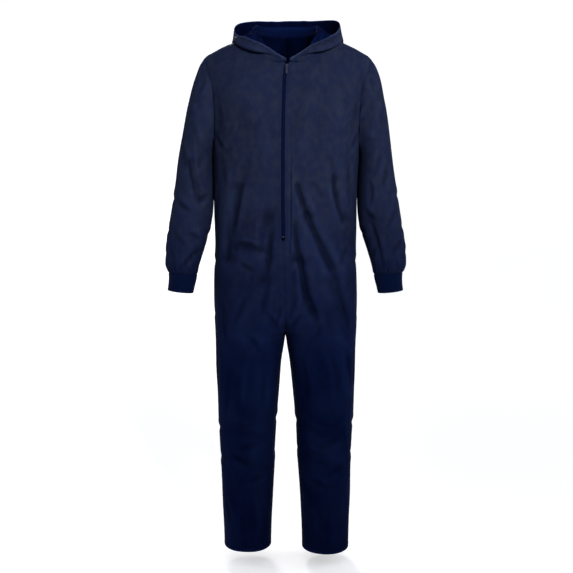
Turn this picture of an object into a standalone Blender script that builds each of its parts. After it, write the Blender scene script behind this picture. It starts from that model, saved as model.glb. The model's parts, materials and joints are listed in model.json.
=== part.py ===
# Hooded one-piece pajama with a front zip, filled out as when it is worn, with nobody in it.
# Metres, +Z up. The front faces -Y and the wearer's left side is +X.
# The origin lies between the shoulders, level with the back neck seam.
# Every cloth piece is a lofted wall: its outer side is worked out from the tables below,
# and its inner side is the same surface moved in by the cloth's thickness.

import math

import bmesh
import bpy
import numpy as np

CLOTH = 0.002
CUFF_CLOTH = 0.003
SEAM_GAP = 0.0003
SHARPEST_MITRE = 0.45

# Counts along the pieces
UPPER_ROWS = 12
NECK_ROWS = 8
TORSO_ROWS = 7
SEAT_ROWS = 6
LEG_ROWS = 13
BODY_COLUMNS = 12
RIB_POINTS = 14
DENSE = 240

# Heights of the main levels
UNDERARM_Z = -0.330
CROTCH_Z = -0.876
ZIP_END_Z = -0.585
HEM_Z = {1: -1.546, -1: -1.538}
# Extra rows close above the crotch, where the seat parts into legs
SEAT_ENDS_ABOVE = 0.055
CLEFT_ABOVE = (0.030, 0.012, 0)

# Neck: half its width at the shoulder ridge, its drop in front, and how square its curve is
NECK_HALF = 0.092
NECK_DROP = 0.092
NECK_POWER = 2.8
SHOULDER_TIP = 0.2375
# The drop below the shoulder ridge over which front and back round out to their full depth
SHOULDER_ROUND = 0.160

ZIP_SLOT = 0.010
# Folds die out towards the zip's edges, over PLACKET_FADE, and are nil within PLACKET of its line
PLACKET = 0.014
PLACKET_FADE = 0.032
ZIP_CLOSES_OVER = 0.012


def table(names, rows):
    """A short table as one array for each named column, with the first column rising."""
    return dict(zip(names.split(), np.array(rows, float).T))


# The body's half section at each height: the side seam's x, how far the halves part (-1 for a whole
# torso, 0 at the crotch, then the gap between the legs as a share of side), depths, and squareness
BODY = table(
    "z side split front back power",
    (
        (-1.560, 0.1900, 0.2553, 0.0745, 0.0745, 2.10),
        (-1.402, 0.1945, 0.2159, 0.0800, 0.0820, 2.10),
        (-1.275, 0.1990, 0.1794, 0.0870, 0.0900, 2.10),
        (-1.087, 0.2053, 0.1193, 0.0990, 0.1030, 2.15),
        (-0.965, 0.2090, 0.0646, 0.1100, 0.1140, 2.15),
        (-0.920, 0.2105, 0.0333, 0.1150, 0.1210, 2.20),
        (-0.876, 0.2115, 0.0000, 0.1200, 0.1300, 2.20),
        (-0.860, 0.2118, -0.0800, 0.1215, 0.1325, 2.20),
        (-0.820, 0.2120, -0.3000, 0.1245, 0.1375, 2.25),
        (-0.760, 0.2122, -0.6000, 0.1280, 0.1410, 2.30),
        (-0.700, 0.2120, -0.8600, 0.1300, 0.1400, 2.30),
        (-0.585, 0.2102, -1.0000, 0.1325, 0.1240, 2.30),
        (-0.450, 0.2110, -1.0000, 0.1340, 0.1180, 2.35),
        (-0.330, 0.2150, -1.0000, 0.1310, 0.1220, 2.40),
        (-0.300, 0.2175, -1.0000, 0.1290, 0.1235, 2.40),
        (-0.242, 0.2255, -1.0000, 0.1260, 0.1250, 2.40),
        (-0.153, 0.2360, -1.0000, 0.1190, 0.1230, 2.40),
        (-0.065, 0.2620, -1.0000, 0.1090, 0.1180, 2.40),
        (0.060, 0.2900, -1.0000, 0.0950, 0.1050, 2.40),
    ),
)

# The shoulder ridge, where front and back meet
RIDGE = table(
    "x z",
    (
        (0.0000, 0.0500),
        (0.0500, 0.0300),
        (0.0920, 0.0000),
        (0.1400, -0.0175),
        (0.1850, -0.0376),
        (0.2375, -0.0654),
        (0.3000, -0.1000),
    ),
)

# The armhole seam's x at each height
ARMHOLE = table(
    "z front back",
    (
        (-0.3300, 0.2150, 0.2150),
        (-0.3000, 0.2100, 0.2120),
        (-0.2420, 0.2095, 0.2140),
        (-0.1530, 0.2165, 0.2215),
        (-0.0870, 0.2370, 0.2350),
        (-0.0654, 0.2375, 0.2375),
    ),
)

# The zip runs a little to the wearer's right of the middle, and the seam below it comes back
ZIP_LINE = table(
    "z x",
    (
        (-0.876, 0.0000),
        (-0.700, -0.0030),
        (-0.585, -0.0060),
        (-0.300, -0.0090),
        (-0.150, -0.0095),
        (-0.110, -0.0060),
        (-0.092, -0.0020),
    ),
)

# Sleeve rings below the armhole: the ends of each ring on the outer and inner side of the arm
SLEEVE = table(
    "ring outer_x outer_z inner_x inner_z mid_y depth",
    (
        (1, 0.2560, -0.0915, 0.2156, -0.3400, 0.0000, 0.0640),
        (2, 0.2715, -0.1310, 0.2160, -0.3500, 0.0000, 0.0680),
        (3, 0.2850, -0.1870, 0.2163, -0.3640, 0.0000, 0.0700),
        (4, 0.2965, -0.2460, 0.2163, -0.3830, 0.0000, 0.0710),
        (5, 0.3070, -0.3060, 0.2160, -0.4100, 0.0000, 0.0710),
        (6, 0.3165, -0.3640, 0.2158, -0.4440, -0.0010, 0.0700),
        (7, 0.3255, -0.4250, 0.2158, -0.4800, -0.0040, 0.0680),
        (8, 0.3345, -0.4850, 0.2166, -0.5150, -0.0090, 0.0650),
        (9, 0.3430, -0.5420, 0.2205, -0.5560, -0.0160, 0.0625),
        (10, 0.3495, -0.5930, 0.2330, -0.6030, -0.0240, 0.0600),
        (11, 0.3530, -0.6340, 0.2450, -0.6420, -0.0320, 0.0570),
        (12, 0.3540, -0.6660, 0.2545, -0.6720, -0.0380, 0.0500),
        (13, 0.3450, -0.6915, 0.2605, -0.6955, -0.0430, 0.0340),
    ),
)
CUFF = table(
    "ring outer_x outer_z inner_x inner_z mid_y depth",
    (
        (0, 0.3450, -0.6915, 0.2605, -0.6955, -0.0430, 0.0340),
        (1, 0.3440, -0.7050, 0.2630, -0.7110, -0.0445, 0.0330),
        (2, 0.3450, -0.7245, 0.2680, -0.7315, -0.0470, 0.0320),
        (3, 0.3475, -0.7430, 0.2725, -0.7520, -0.0500, 0.0310),
    ),
)
ARMHOLE_FADES_BY_RING = 5

# The hood lies back. Each rib leaves the neck seam at an angle round the neck, 0 in front and 180
# behind, rises to the roll, drops to the bag's bottom, swells outwards and ends at the opening edge
HOOD = {
    "roll": table(
        "angle x y z",
        (
            (0, 0.0050, -0.1135, -0.0890),
            (22, 0.0410, -0.1060, -0.0790),
            (42, 0.0555, -0.0800, -0.0470),
            (62, 0.0710, -0.0340, -0.0140),
            (90, 0.0840, 0.0150, 0.0130),
            (104, 0.0905, 0.0480, 0.0330),
            (118, 0.0890, 0.0660, 0.0410),
            (138, 0.0700, 0.0880, 0.0440),
            (160, 0.0360, 0.1000, 0.0455),
            (180, 0.0000, 0.1040, 0.0460),
        ),
    ),
    "bag": table(
        "angle x y z",
        (
            (0, 0.0055, -0.1150, -0.0870),
            (22, 0.0415, -0.1055, -0.0725),
            (42, 0.0740, -0.1040, -0.0690),
            (62, 0.1120, -0.0880, -0.0600),
            (90, 0.1500, -0.0300, -0.0280),
            (104, 0.1420, 0.0200, -0.0090),
            (118, 0.1560, 0.1000, -0.0750),
            (138, 0.1200, 0.1400, -0.1450),
            (160, 0.0650, 0.1480, -0.1850),
            (180, 0.0000, 0.1500, -0.1950),
        ),
    ),
    "swell": table(
        "angle x y z",
        (
            (0, 0.0060, -0.1165, -0.0850),
            (22, 0.0415, -0.1030, -0.0665),
            (42, 0.0770, -0.0990, -0.0580),
            (62, 0.1180, -0.0740, -0.0460),
            (90, 0.1590, -0.0120, -0.0180),
            (104, 0.1660, 0.0200, -0.0200),
            (118, 0.1700, 0.0720, -0.0320),
            (138, 0.1360, 0.1480, -0.0550),
            (160, 0.0780, 0.1780, -0.0750),
            (180, 0.0000, 0.1880, -0.0780),
        ),
    ),
    "edge": table(
        "angle x y z",
        (
            (0, 0.0065, -0.1175, -0.0825),
            (22, 0.0405, -0.0985, -0.0600),
            (42, 0.0660, -0.0740, -0.0465),
            (62, 0.0980, -0.0360, -0.0250),
            (90, 0.1310, 0.0040, -0.0030),
            (104, 0.1470, 0.0260, 0.0100),
            (118, 0.1620, 0.0540, 0.0300),
            (138, 0.1420, 0.1000, 0.0525),
            (160, 0.0790, 0.1320, 0.0570),
            (180, 0.0000, 0.1430, 0.0590),
        ),
    ),
}
# How far the roll and the bag's bottom are rounded out at each angle, and how much of that goes
# inside the roll, over it, down its far side and to each side of the bag's bottom
HOOD_SPREAD = table(
    "angle spread",
    (
        (0, 0),
        (22, 0),
        (42, 0.004),
        (62, 0.009),
        (90, 0.012),
        (104, 0.012),
        (118, 0.016),
        (138, 0.018),
        (180, 0.018),
    ),
)
ROLL_INSIDE = (0.35, -0.30)
ROLL_OVER = (0.15, 0)
ROLL_FAR = (0.90, -0.50)
BAG_INSIDE = (0.30, 0)
BAG_OUTSIDE = (0.50, 0)
LEAST_SPREAD = 0.001
HOOD_CLEARANCE = 0.0060
HOOD_TIP_TILT = 0.009
HOOD_TIP_ANGLE = 118
HOOD_TIP_REACH = 40
# Each smoothing keeps this share of a point and takes the rest from its neighbours
HOOD_SMOOTHINGS = 3
KEPT_SHARE = 0.45
ALONG_SHARE = 0.45
DOWN_SHARE = 0.10
# The body counts as lying beneath the hood from just inside the neck seam's curve
NECK_STARTS = 0.97
NECK_FADE = 0.06
BACK_NECK_DROP = 0.01
MOST_PUSH = 0.03
PUSHES = 4

# The tape that covers the back neck seam inside
NECK_TAPE_HEIGHT = 0.011
NECK_TAPE_START = 0.0008
NECK_TAPE_CLOTH = 0.0008
NECK_TAPE_FROM_ANGLE = 96
LAYER_GAP = 0.0006

# The zip: tape and chain behind the front edges, slider at the top, stop at the bottom
TAPE_CLOTH = 0.0009
TAPE_UNDER_FRONT = 0.008
TAPE_FROM_NECK = 0.003
CHAIN_WIDTH = 0.0050
CHAIN_THICK = 0.0014
CHAIN_SUNK = 0.0004
STOP_WIDTH = 0.0062
STOP_LENGTH = 0.0045
SLIDER_AT = 0.0110
SLIDER_WIDTH = 0.0086
SLIDER_LENGTH = 0.0105
SLIDER_PROUD = 0.0018
SLIDER_SUNK = 0.0021
SLIDER_BEVEL = 0.0008
BAIL_RADIUS = 0.0016
BAIL_WIRE = 0.0006
BAIL_LIFT = 0.0013
PULL_LENGTH = 0.0235
PULL_WIDTH = 0.0056
PULL_THICK = 0.0010
PULL_BAR = 0.0010
PULL_HOLE_WIDTH = 0.0028
PULL_HOLE_LENGTH = 0.0048

# The garment leans a little as it hangs
LEAN = table(
    "z x",
    (
        (-1.540, 0.0003),
        (-1.300, -0.0010),
        (-0.900, -0.0033),
        (-0.540, -0.0033),
        (-0.330, -0.0015),
        (-0.190, 0.0015),
        (-0.100, 0.0040),
        (0.000, 0.0030),
        (0.060, 0.0008),
    ),
)

# A fold fades out where the cloth turns away from the side that it is seen from
FACING_SLOPE = 2.5
FACING_START = 0.5
# The largest folds, from one end to the other as seen from the front (facing -1) or the back
# (facing 1): a negative height is a trough
FOLDS = table(
    "facing x0 z0 x1 z1 width height",
    (
        (-1, 0.036, -0.440, 0.068, -0.525, 0.014, -0.0045),
        (-1, 0.068, -0.525, 0.134, -0.668, 0.015, -0.0060),
        (-1, 0.022, -0.550, 0.046, -0.655, 0.017, -0.0065),
        (-1, 0.046, -0.655, 0.078, -0.790, 0.018, -0.0060),
        (-1, 0.030, -0.665, 0.042, -0.760, 0.012, 0.0040),
        (-1, 0.142, -0.421, 0.170, -0.530, 0.015, -0.0040),
        (-1, 0.140, -0.705, 0.184, -0.870, 0.018, -0.0050),
        (-1, 0.163, -0.940, 0.186, -1.046, 0.016, 0.0035),
        (-1, -0.040, -0.530, -0.056, -0.700, 0.020, -0.0055),
        (-1, -0.145, -0.613, -0.066, -0.620, 0.012, -0.0030),
        (-1, -0.138, -0.446, -0.166, -0.640, 0.018, -0.0045),
        (-1, -0.161, -1.156, -0.073, -1.180, 0.018, -0.0040),
        (-1, 0.064, -1.238, 0.165, -1.284, 0.018, -0.0040),
        (-1, -0.153, -1.241, -0.060, -1.278, 0.016, -0.0035),
        (-1, 0.055, -1.150, 0.155, -1.180, 0.016, -0.0035),
        (-1, -0.264, -0.215, -0.246, -0.300, 0.012, 0.0030),
        (-1, -0.275, -0.370, -0.250, -0.470, 0.014, -0.0045),
        (-1, -0.253, -0.627, -0.300, -0.677, 0.014, -0.0040),
        (-1, 0.262, -0.210, 0.246, -0.290, 0.012, 0.0030),
        (-1, 0.245, -0.530, 0.278, -0.665, 0.016, -0.0045),
        (1, -0.050, -0.420, -0.125, -0.640, 0.020, -0.0055),
        (1, 0.060, -0.440, 0.140, -0.660, 0.020, -0.0060),
        (1, -0.030, -0.760, -0.095, -0.930, 0.018, -0.0055),
        (1, 0.035, -0.770, 0.110, -0.930, 0.018, -0.0050),
        (1, -0.165, -0.330, -0.110, -0.250, 0.018, -0.0040),
        (1, 0.165, -0.335, 0.120, -0.265, 0.018, -0.0040),
        (1, -0.160, -1.150, -0.060, -1.190, 0.018, -0.0040),
        (1, 0.060, -1.170, 0.160, -1.205, 0.018, -0.0040),
        (1, -0.285, -0.500, -0.250, -0.560, 0.014, -0.0040),
        (1, 0.290, -0.490, 0.252, -0.545, 0.014, -0.0040),
    ),
)


def smooth(xs, ys, at):
    """A curve through the points that never swings past them (cubic, monotone between points)."""
    xs = np.asarray(xs, float)
    ys = np.asarray(ys, float)
    at = np.asarray(at, float)
    step = np.diff(xs)
    slope = np.diff(ys) / step
    tangent = np.zeros_like(ys)
    same_way = slope[:-1] * slope[1:] > 0
    total = np.where(same_way, slope[:-1] + slope[1:], 1)
    tangent[1:-1] = np.where(same_way, 2 * slope[:-1] * slope[1:] / total, 0)
    tangent[0] = slope[0]
    tangent[-1] = slope[-1]
    k = np.clip(np.searchsorted(xs, at) - 1, 0, len(xs) - 2)
    t = np.clip((at - xs[k]) / step[k], 0, 1)
    t2 = t * t
    t3 = t2 * t
    return (
        (2 * t3 - 3 * t2 + 1) * ys[k]
        + (t3 - 2 * t2 + t) * step[k] * tangent[k]
        + (3 * t2 - 2 * t3) * ys[k + 1]
        + (t3 - t2) * step[k] * tangent[k + 1]
    )


def look(rows, name, at):
    """The column's value where the table's first column is at."""
    first = next(iter(rows))
    return smooth(rows[first], rows[name], at)


def even(points, count):
    """The same path with count points spaced evenly along it."""
    steps = np.linalg.norm(np.diff(points, axis=0), axis=1)
    along = np.concatenate(([0], np.cumsum(steps)))
    wanted = np.linspace(0, along[-1], count)
    return np.stack([np.interp(wanted, along, points[:, k]) for k in range(3)], axis=1)


def unit(vectors):
    return vectors / np.maximum(np.linalg.norm(vectors, axis=-1, keepdims=True), 1e-12)


def depth_at(x, z, face):
    """The body's y at (x, z): a squared ellipse across, rounded over at the shoulder ridge."""
    side = look(BODY, "side", z)
    centre = np.maximum(side * (1 + look(BODY, "split", z)) / 2, 0)
    power = look(BODY, "power", z)
    across = np.clip(1 - (np.abs(np.abs(x) - centre) / (side - centre)) ** power, 0, 1) ** (1 / power)
    fall = np.clip((look(RIDGE, "z", np.abs(x)) - z) / SHOULDER_ROUND, 0, 1)
    down = np.sqrt(1 - (1 - fall) ** 2)
    sign = -1 if face == "front" else 1
    return sign * look(BODY, face, z) * across * down


def body_point(x, z, face):
    return np.stack([x, depth_at(x, z, face), z], axis=-1)


def centre_x(z, side, face):
    """Where a half's centre edge lies, measured towards its own side: the zip's slot in front."""
    if face == "back":
        return np.zeros_like(z)
    closing = np.clip((z - ZIP_END_Z) / ZIP_CLOSES_OVER + 1, 0, 1)
    return side * look(ZIP_LINE, "x", z) + closing * ZIP_SLOT / 2


def neckline(side, face):
    """Points of the neck seam from the shoulder ridge to the middle, and their angle round the neck."""
    turn = np.radians(np.linspace(90, 0, DENSE))
    end_z = np.array(-NECK_DROP if face == "front" else 0.0)
    end_x = float(centre_x(end_z, side, face))
    x = end_x + (NECK_HALF - end_x) * np.sin(turn) ** (2 / NECK_POWER)
    z = end_z * np.cos(turn) ** (2 / NECK_POWER)
    points = even(body_point(x, z, face), NECK_ROWS + 1)
    width = points[:, 0] / NECK_HALF
    angle = np.degrees(np.arcsin(np.clip(width, 0, 1) ** (NECK_POWER / 2)))
    angle = np.linspace(90, 0, NECK_ROWS + 1) * 0.5 + angle * 0.5
    angle[-1] = 0
    return points, angle if face == "front" else 180 - angle


def armhole(face):
    """Points of the armhole seam from the shoulder tip to the underarm."""
    turn = np.linspace(0, np.pi, DENSE)
    tip_z = float(look(RIDGE, "z", SHOULDER_TIP))
    z = tip_z + (UNDERARM_Z - tip_z) * (1 - np.cos(turn)) / 2
    x = look(ARMHOLE, face, z)
    return even(body_point(x, z, face), UPPER_ROWS + 1)


def body_levels(side):
    """Heights of the level rows below the underarm, down to the hem."""
    torso = np.linspace(UNDERARM_Z, ZIP_END_Z, TORSO_ROWS)
    seat = np.linspace(ZIP_END_Z - ZIP_CLOSES_OVER, CROTCH_Z + SEAT_ENDS_ABOVE, SEAT_ROWS)
    cleft = CROTCH_Z + np.array(CLEFT_ABOVE)
    leg = np.linspace(CROTCH_Z, HEM_Z[side], LEG_ROWS + 1)[1:]
    return np.concatenate((torso[1:], seat, cleft, leg))


def row_across(inner, outer, lift, face):
    """A row of points over the body from one edge to the other, evenly spaced."""
    s = (1 - np.cos(np.linspace(0, np.pi, DENSE))) / 2
    x = inner[0] + (outer[0] - inner[0]) * s
    z = inner[1] + (outer[1] - inner[1]) * s
    ridge = look(RIDGE, "z", np.abs(x))
    z = z + lift * (ridge - ridge[0] - (ridge[-1] - ridge[0]) * s)
    return even(body_point(x, z, face), BODY_COLUMNS)


def body_panel(side, face):
    """Half of the front or back, from the shoulder to the hem, as rows of points."""
    neck, _ = neckline(side, face)
    arm = armhole(face)
    top_z = neck[-1, 2]
    below = np.linspace(top_z, UNDERARM_Z, UPPER_ROWS - NECK_ROWS + 1)[1:]
    inner = [(p[0], p[2]) for p in neck]
    inner += [(float(centre_x(np.array(z), side, face)), z) for z in below]
    rows = []
    for k, (edge, end) in enumerate(zip(inner, arm)):
        lift = (1 - k / UPPER_ROWS) ** 2
        rows.append(row_across(edge, (end[0], end[2]), lift, face))
        rows[-1][-1] = end
    for z in body_levels(side):
        level = np.array(z)
        split = float(look(BODY, "split", level))
        width = float(look(BODY, "side", level))
        edge = max(split, 0) * width if split > 0 else float(centre_x(level, side, face))
        rows.append(row_across((edge, z), (width, z), 0, face))
    grid = np.array(rows)
    grid[..., 0] *= side
    return grid


def ring(row, spread):
    """A closed ring between its outer and inner end, where spread runs round from 0 to 360 degrees."""
    outer = np.array((row["outer_x"], row["mid_y"], row["outer_z"]))
    inner = np.array((row["inner_x"], row["mid_y"], row["inner_z"]))
    turn = np.radians(spread)[:, None]
    across = (outer - inner) / 2
    forward = np.array((0, -row["depth"], 0))
    return (outer + inner) / 2 + across * np.cos(turn) + forward * np.sin(turn)


def rings_of(rows, spread):
    count = len(rows["ring"])
    return [ring({name: rows[name][k] for name in rows}, spread) for k in range(count)]


def sleeve_grid(side):
    """The sleeve: the armhole seam first, then rings that round off into the arm's tube."""
    front = armhole("front")
    back = armhole("back")
    first = np.concatenate((front, back[-2:0:-1]))
    spread = np.linspace(0, 360, len(first), endpoint=False)
    half_depth = (back[:, 1].max() - front[:, 1].min()) / 2
    seam = {"outer_x": front[0, 0], "outer_z": front[0, 2], "inner_x": front[-1, 0], "inner_z": front[-1, 2]}
    seam |= {"mid_y": 0, "depth": half_depth}
    odd = first - ring(seam, spread)
    grid = [first]
    for k, plain in enumerate(rings_of(SLEEVE, spread), start=1):
        fade = max(0, 1 - k / ARMHOLE_FADES_BY_RING) ** 2
        grid.append(plain + odd * fade)
    grid = np.array(grid)
    grid[..., 0] *= side
    return grid


def cuff_grid(side):
    spread = np.linspace(0, 360, 2 * UPPER_ROWS, endpoint=False)
    grid = np.array(rings_of(CUFF, spread))
    grid[..., 0] *= side
    return grid


def off_body(x, y, z):
    """How far a point lies outside the body's rounded form: 0 on it, as a share of its size."""
    face_depth = np.where(y < 0, look(BODY, "front", z), look(BODY, "back", z))
    across = np.clip(1 - (np.abs(x) / look(BODY, "side", z)) ** look(BODY, "power", z), 0.02, 1)
    depth = face_depth * across ** (1 / look(BODY, "power", z))
    centre_z = look(RIDGE, "z", np.abs(x)) - SHOULDER_ROUND
    up = np.maximum(z - centre_z, 0) / SHOULDER_ROUND
    return np.sqrt((y / depth) ** 2 + up**2) - 1


def beyond_neck(points):
    """0 over the neck opening and 1 where the body lies beneath."""
    x = np.abs(points[:, 0]) / NECK_HALF
    drop = np.where(points[:, 1] < 0, NECK_DROP, BACK_NECK_DROP)
    down = np.maximum(-points[:, 2], 0) / drop
    reach = (x**NECK_POWER + down**NECK_POWER) ** (1 / NECK_POWER)
    return np.clip((reach - NECK_STARTS) / NECK_FADE, 0, 1)


def outside_body(points, clearance):
    """Points moved out where they lie nearer to the body than the clearance."""
    moved = points.copy()
    small = 1e-4
    for _ in range(PUSHES):
        here = off_body(*moved.T)
        nearby = [off_body(*(moved + step).T) for step in np.eye(3) * small]
        slope = (np.stack(nearby, axis=1) - here[:, None]) / small
        steep = np.linalg.norm(slope, axis=1)
        push = np.clip(clearance * beyond_neck(moved) - here / steep, 0, MOST_PUSH)
        moved = moved + slope / steep[:, None] * push[:, None]
    return moved


def curve_through(controls, count):
    """A smooth curve through the control points, with count points evenly along it."""
    steps = np.linalg.norm(np.diff(controls, axis=0), axis=1) ** 0.5
    along = np.concatenate(([0], np.cumsum(np.maximum(steps, 1e-4))))
    tangent = np.gradient(controls, along, axis=0)
    at = np.linspace(0, along[-1], DENSE)
    k = np.clip(np.searchsorted(along, at) - 1, 0, len(along) - 2)
    step = (along[k + 1] - along[k])[:, None]
    t = ((at - along[k])[:, None]) / step
    points = (
        (2 * t**3 - 3 * t**2 + 1) * controls[k]
        + (t**3 - 2 * t**2 + t) * step * tangent[k]
        + (3 * t**2 - 2 * t**3) * controls[k + 1]
        + (t**3 - t**2) * step * tangent[k + 1]
    )
    return even(points, count)


def hood_rib(start, angle, side):
    """One rib of the hood from the neck seam to the opening edge, with round folds."""
    at = np.array(angle)
    place = {name: np.array([float(look(rows, axis, at)) for axis in "xyz"]) for name, rows in HOOD.items()}
    roll, bag, swell, edge = place.values()
    tip = max(0, 1 - abs(angle - HOOD_TIP_ANGLE) / HOOD_TIP_REACH)
    edge[2] += side * HOOD_TIP_TILT * tip
    spread = float(look(HOOD_SPREAD, "spread", at))
    if spread < LEAST_SPREAD:
        return curve_through(np.array([start, roll, bag, swell, edge]), RIB_POINTS)
    outwards = unit((bag - roll) * np.array((1, 1, 0)))
    up = np.array((0, 0, 1))

    def beside(point, way, share):
        return point + (outwards * way * share[0] + up * share[1]) * spread

    controls = [
        start,
        beside(roll, -1, ROLL_INSIDE),
        beside(roll, 1, ROLL_OVER),
        beside(roll, 1, ROLL_FAR),
        beside(bag, -1, BAG_INSIDE),
        beside(bag, 1, BAG_OUTSIDE),
        swell,
        edge,
    ]
    return curve_through(np.array(controls), RIB_POINTS)


def smoothed(grid):
    """The hood's points drawn towards their neighbours, its seam and its front edge left in place."""
    moved = grid.copy()
    across = np.empty_like(grid)
    across[:, 1:-1] = (grid[:, :-2] + grid[:, 2:]) / 2
    across[:, 0] = grid[:, 0]
    across[:, -1] = grid[:, -2] * (0, 1, 1)
    down = (grid[:-2] + grid[2:]) / 2
    moved[1:-1, 1:] = (
        grid[1:-1, 1:] * KEPT_SHARE + across[1:-1, 1:] * ALONG_SHARE + down[:, 1:] * DOWN_SHARE
    )
    moved[-1, 1:] = (grid[-1, 1:] + across[-1, 1:]) / 2
    return moved


def halved(values):
    """The same values with the middle of each step added between them."""
    between = (values[1:] + values[:-1]) / 2
    both = np.empty((len(values) + len(between),) + values.shape[1:])
    both[::2] = values
    both[1::2] = between
    return both


def hood_starts(side):
    """Where the ribs leave the neck seam, and their angles round the neck."""
    front, front_angle = neckline(side, "front")
    back, back_angle = neckline(side, "back")
    starts = halved(np.concatenate((front[::-1], back[1:])))
    return starts, halved(np.concatenate((front_angle[::-1], back_angle[1:])))


def hood_grid(side):
    """Half of the hood: ribs from the neck seam, from the zip round to the back."""
    starts, angles = hood_starts(side)
    ribs = np.array([hood_rib(p, float(a), side) for p, a in zip(starts, angles)])
    ribs[-1, :, 0] = 0
    grid = ribs.transpose(1, 0, 2)
    for _ in range(HOOD_SMOOTHINGS):
        grid = smoothed(grid)
        clear = outside_body(grid[1:].reshape(-1, 3), HOOD_CLEARANCE).reshape(grid[1:].shape)
        grid[1:] = clear
    grid[:, -1, 0] = 0
    grid[..., 0] *= side
    return grid


def new_sheet(name, grid, wraps, flips, cloth):
    """A piece of cloth: its outer points in rows, whether a row closes on itself, and its wall."""
    return dict(name=name, points=grid, wraps=wraps, flips=flips, cloth=cloth)


def neighbours(grid, wraps):
    """The grid's differences down its rows and along them, at each point."""
    down = np.gradient(grid, axis=0)
    if wraps:
        along = (np.roll(grid, -1, axis=1) - np.roll(grid, 1, axis=1)) / 2
    else:
        along = np.gradient(grid, axis=1)
    return down, along


def own_normals(sheet):
    down, along = neighbours(sheet["points"], sheet["wraps"])
    normal = unit(np.cross(down, along))
    return -normal if sheet["flips"] else normal


def rim_places(sheet):
    """Row and column of each point on the sheet's edges."""
    rows, columns = sheet["points"].shape[:2]
    ends = [(r, c) for r in (0, rows - 1) for c in range(columns)]
    if sheet["wraps"]:
        return ends
    return ends + [(r, c) for c in (0, columns - 1) for r in range(1, rows - 1)]


def place_key(point):
    return tuple(np.round(point * 1e5).astype(int))


def alike(group):
    """A seam point's pieces, parted into those that face nearly the same way."""
    parted = []
    for sheet, r, c in group:
        normal = sheet["normal"][r, c]
        for members in parted:
            if np.dot(members[0][0]["normal"][members[0][1], members[0][2]], normal) > SHARPEST_MITRE:
                members.append((sheet, r, c))
                break
        else:
            parted.append([(sheet, r, c)])
    return parted


def share_mitre(group):
    """Gives a seam point's pieces one way out, and says whether they face near enough alike for it."""
    normals = np.array([sheet["normal"][r, c] for sheet, r, c in group])
    shared = unit(normals.sum(axis=0))
    flattest = (normals @ shared).min()
    if flattest > SHARPEST_MITRE:
        for sheet, r, c in group:
            sheet["out"][r, c] = shared / flattest
    return flattest > SHARPEST_MITRE


def mitre(sheets):
    """Each point's way out of the cloth. Pieces that share a seam share it there too, so that their
    walls meet on one plane, unless the seam lies in a crease too tight for that."""
    met = {}
    for sheet in sheets:
        sheet["normal"] = own_normals(sheet)
        sheet["out"] = sheet["normal"].copy()
        for r, c in rim_places(sheet):
            met.setdefault(place_key(sheet["points"][r, c]), []).append((sheet, r, c))
    for group in met.values():
        if len(group) > 1 and not share_mitre(group):
            for members in alike(group):
                share_mitre(members)


def off_placket(points):
    """0 along the stiff edges of the zip and 1 well away from it."""
    beside = np.abs(points[..., 0] - look(ZIP_LINE, "x", points[..., 2]))
    below = (ZIP_END_Z - points[..., 2]) / (2 * PLACKET_FADE)
    away = np.clip(np.maximum((beside - PLACKET) / PLACKET_FADE, below), 0, 1)
    return away * away * (3 - 2 * away)


def fold_height(points, normals):
    """How far the folds move each point in or out."""
    height = np.zeros(points.shape[:2])
    for k in range(len(FOLDS["facing"])):
        start = np.array((FOLDS["x0"][k], FOLDS["z0"][k]))
        end = np.array((FOLDS["x1"][k], FOLDS["z1"][k]))
        run = end - start
        seen = points[..., (0, 2)] - start
        share = np.clip(seen @ run / (run @ run), 0, 1)
        away = np.linalg.norm(seen - share[..., None] * run, axis=-1)
        faces = np.clip(normals[..., 1] * FOLDS["facing"][k] * FACING_SLOPE - FACING_START, 0, 1)
        if FOLDS["facing"][k] < 0:
            faces = faces * off_placket(points)
        height += FOLDS["height"][k] * np.exp(-((away / FOLDS["width"][k]) ** 2)) * faces
    return height


def fold_and_lean(sheets):
    """Folds press the cloth in and out, and the whole garment leans."""
    for sheet in sheets:
        moved = sheet["out"] * fold_height(sheet["points"], unit(sheet["out"]))[..., None]
        sheet["points"] = sheet["points"] + moved
    lean(sheets)


def lean(sheets):
    for sheet in sheets:
        points = sheet["points"]
        points[..., 0] += look(LEAN, "x", points[..., 2])


def drawn_back(sheet):
    """The outer points with each edge drawn back by half the seam's gap."""
    points = sheet["points"].copy()
    down, along = neighbours(points, sheet["wraps"])
    shift = np.zeros_like(points)
    edges = [(0, slice(None), along, down, 1), (-1, slice(None), along, down, -1)]
    if not sheet["wraps"]:
        edges += [(slice(None), 0, down, along, 1), (slice(None), -1, down, along, -1)]
    for row, column, tangent, inwards, way in edges:
        across = unit(np.cross(sheet["normal"][row, column], tangent[row, column]))
        towards = np.sign((across * inwards[row, column] * way).sum(axis=-1, keepdims=True))
        shift[row, column] += across * towards * SEAM_GAP / 2
    return points + shift


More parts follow.
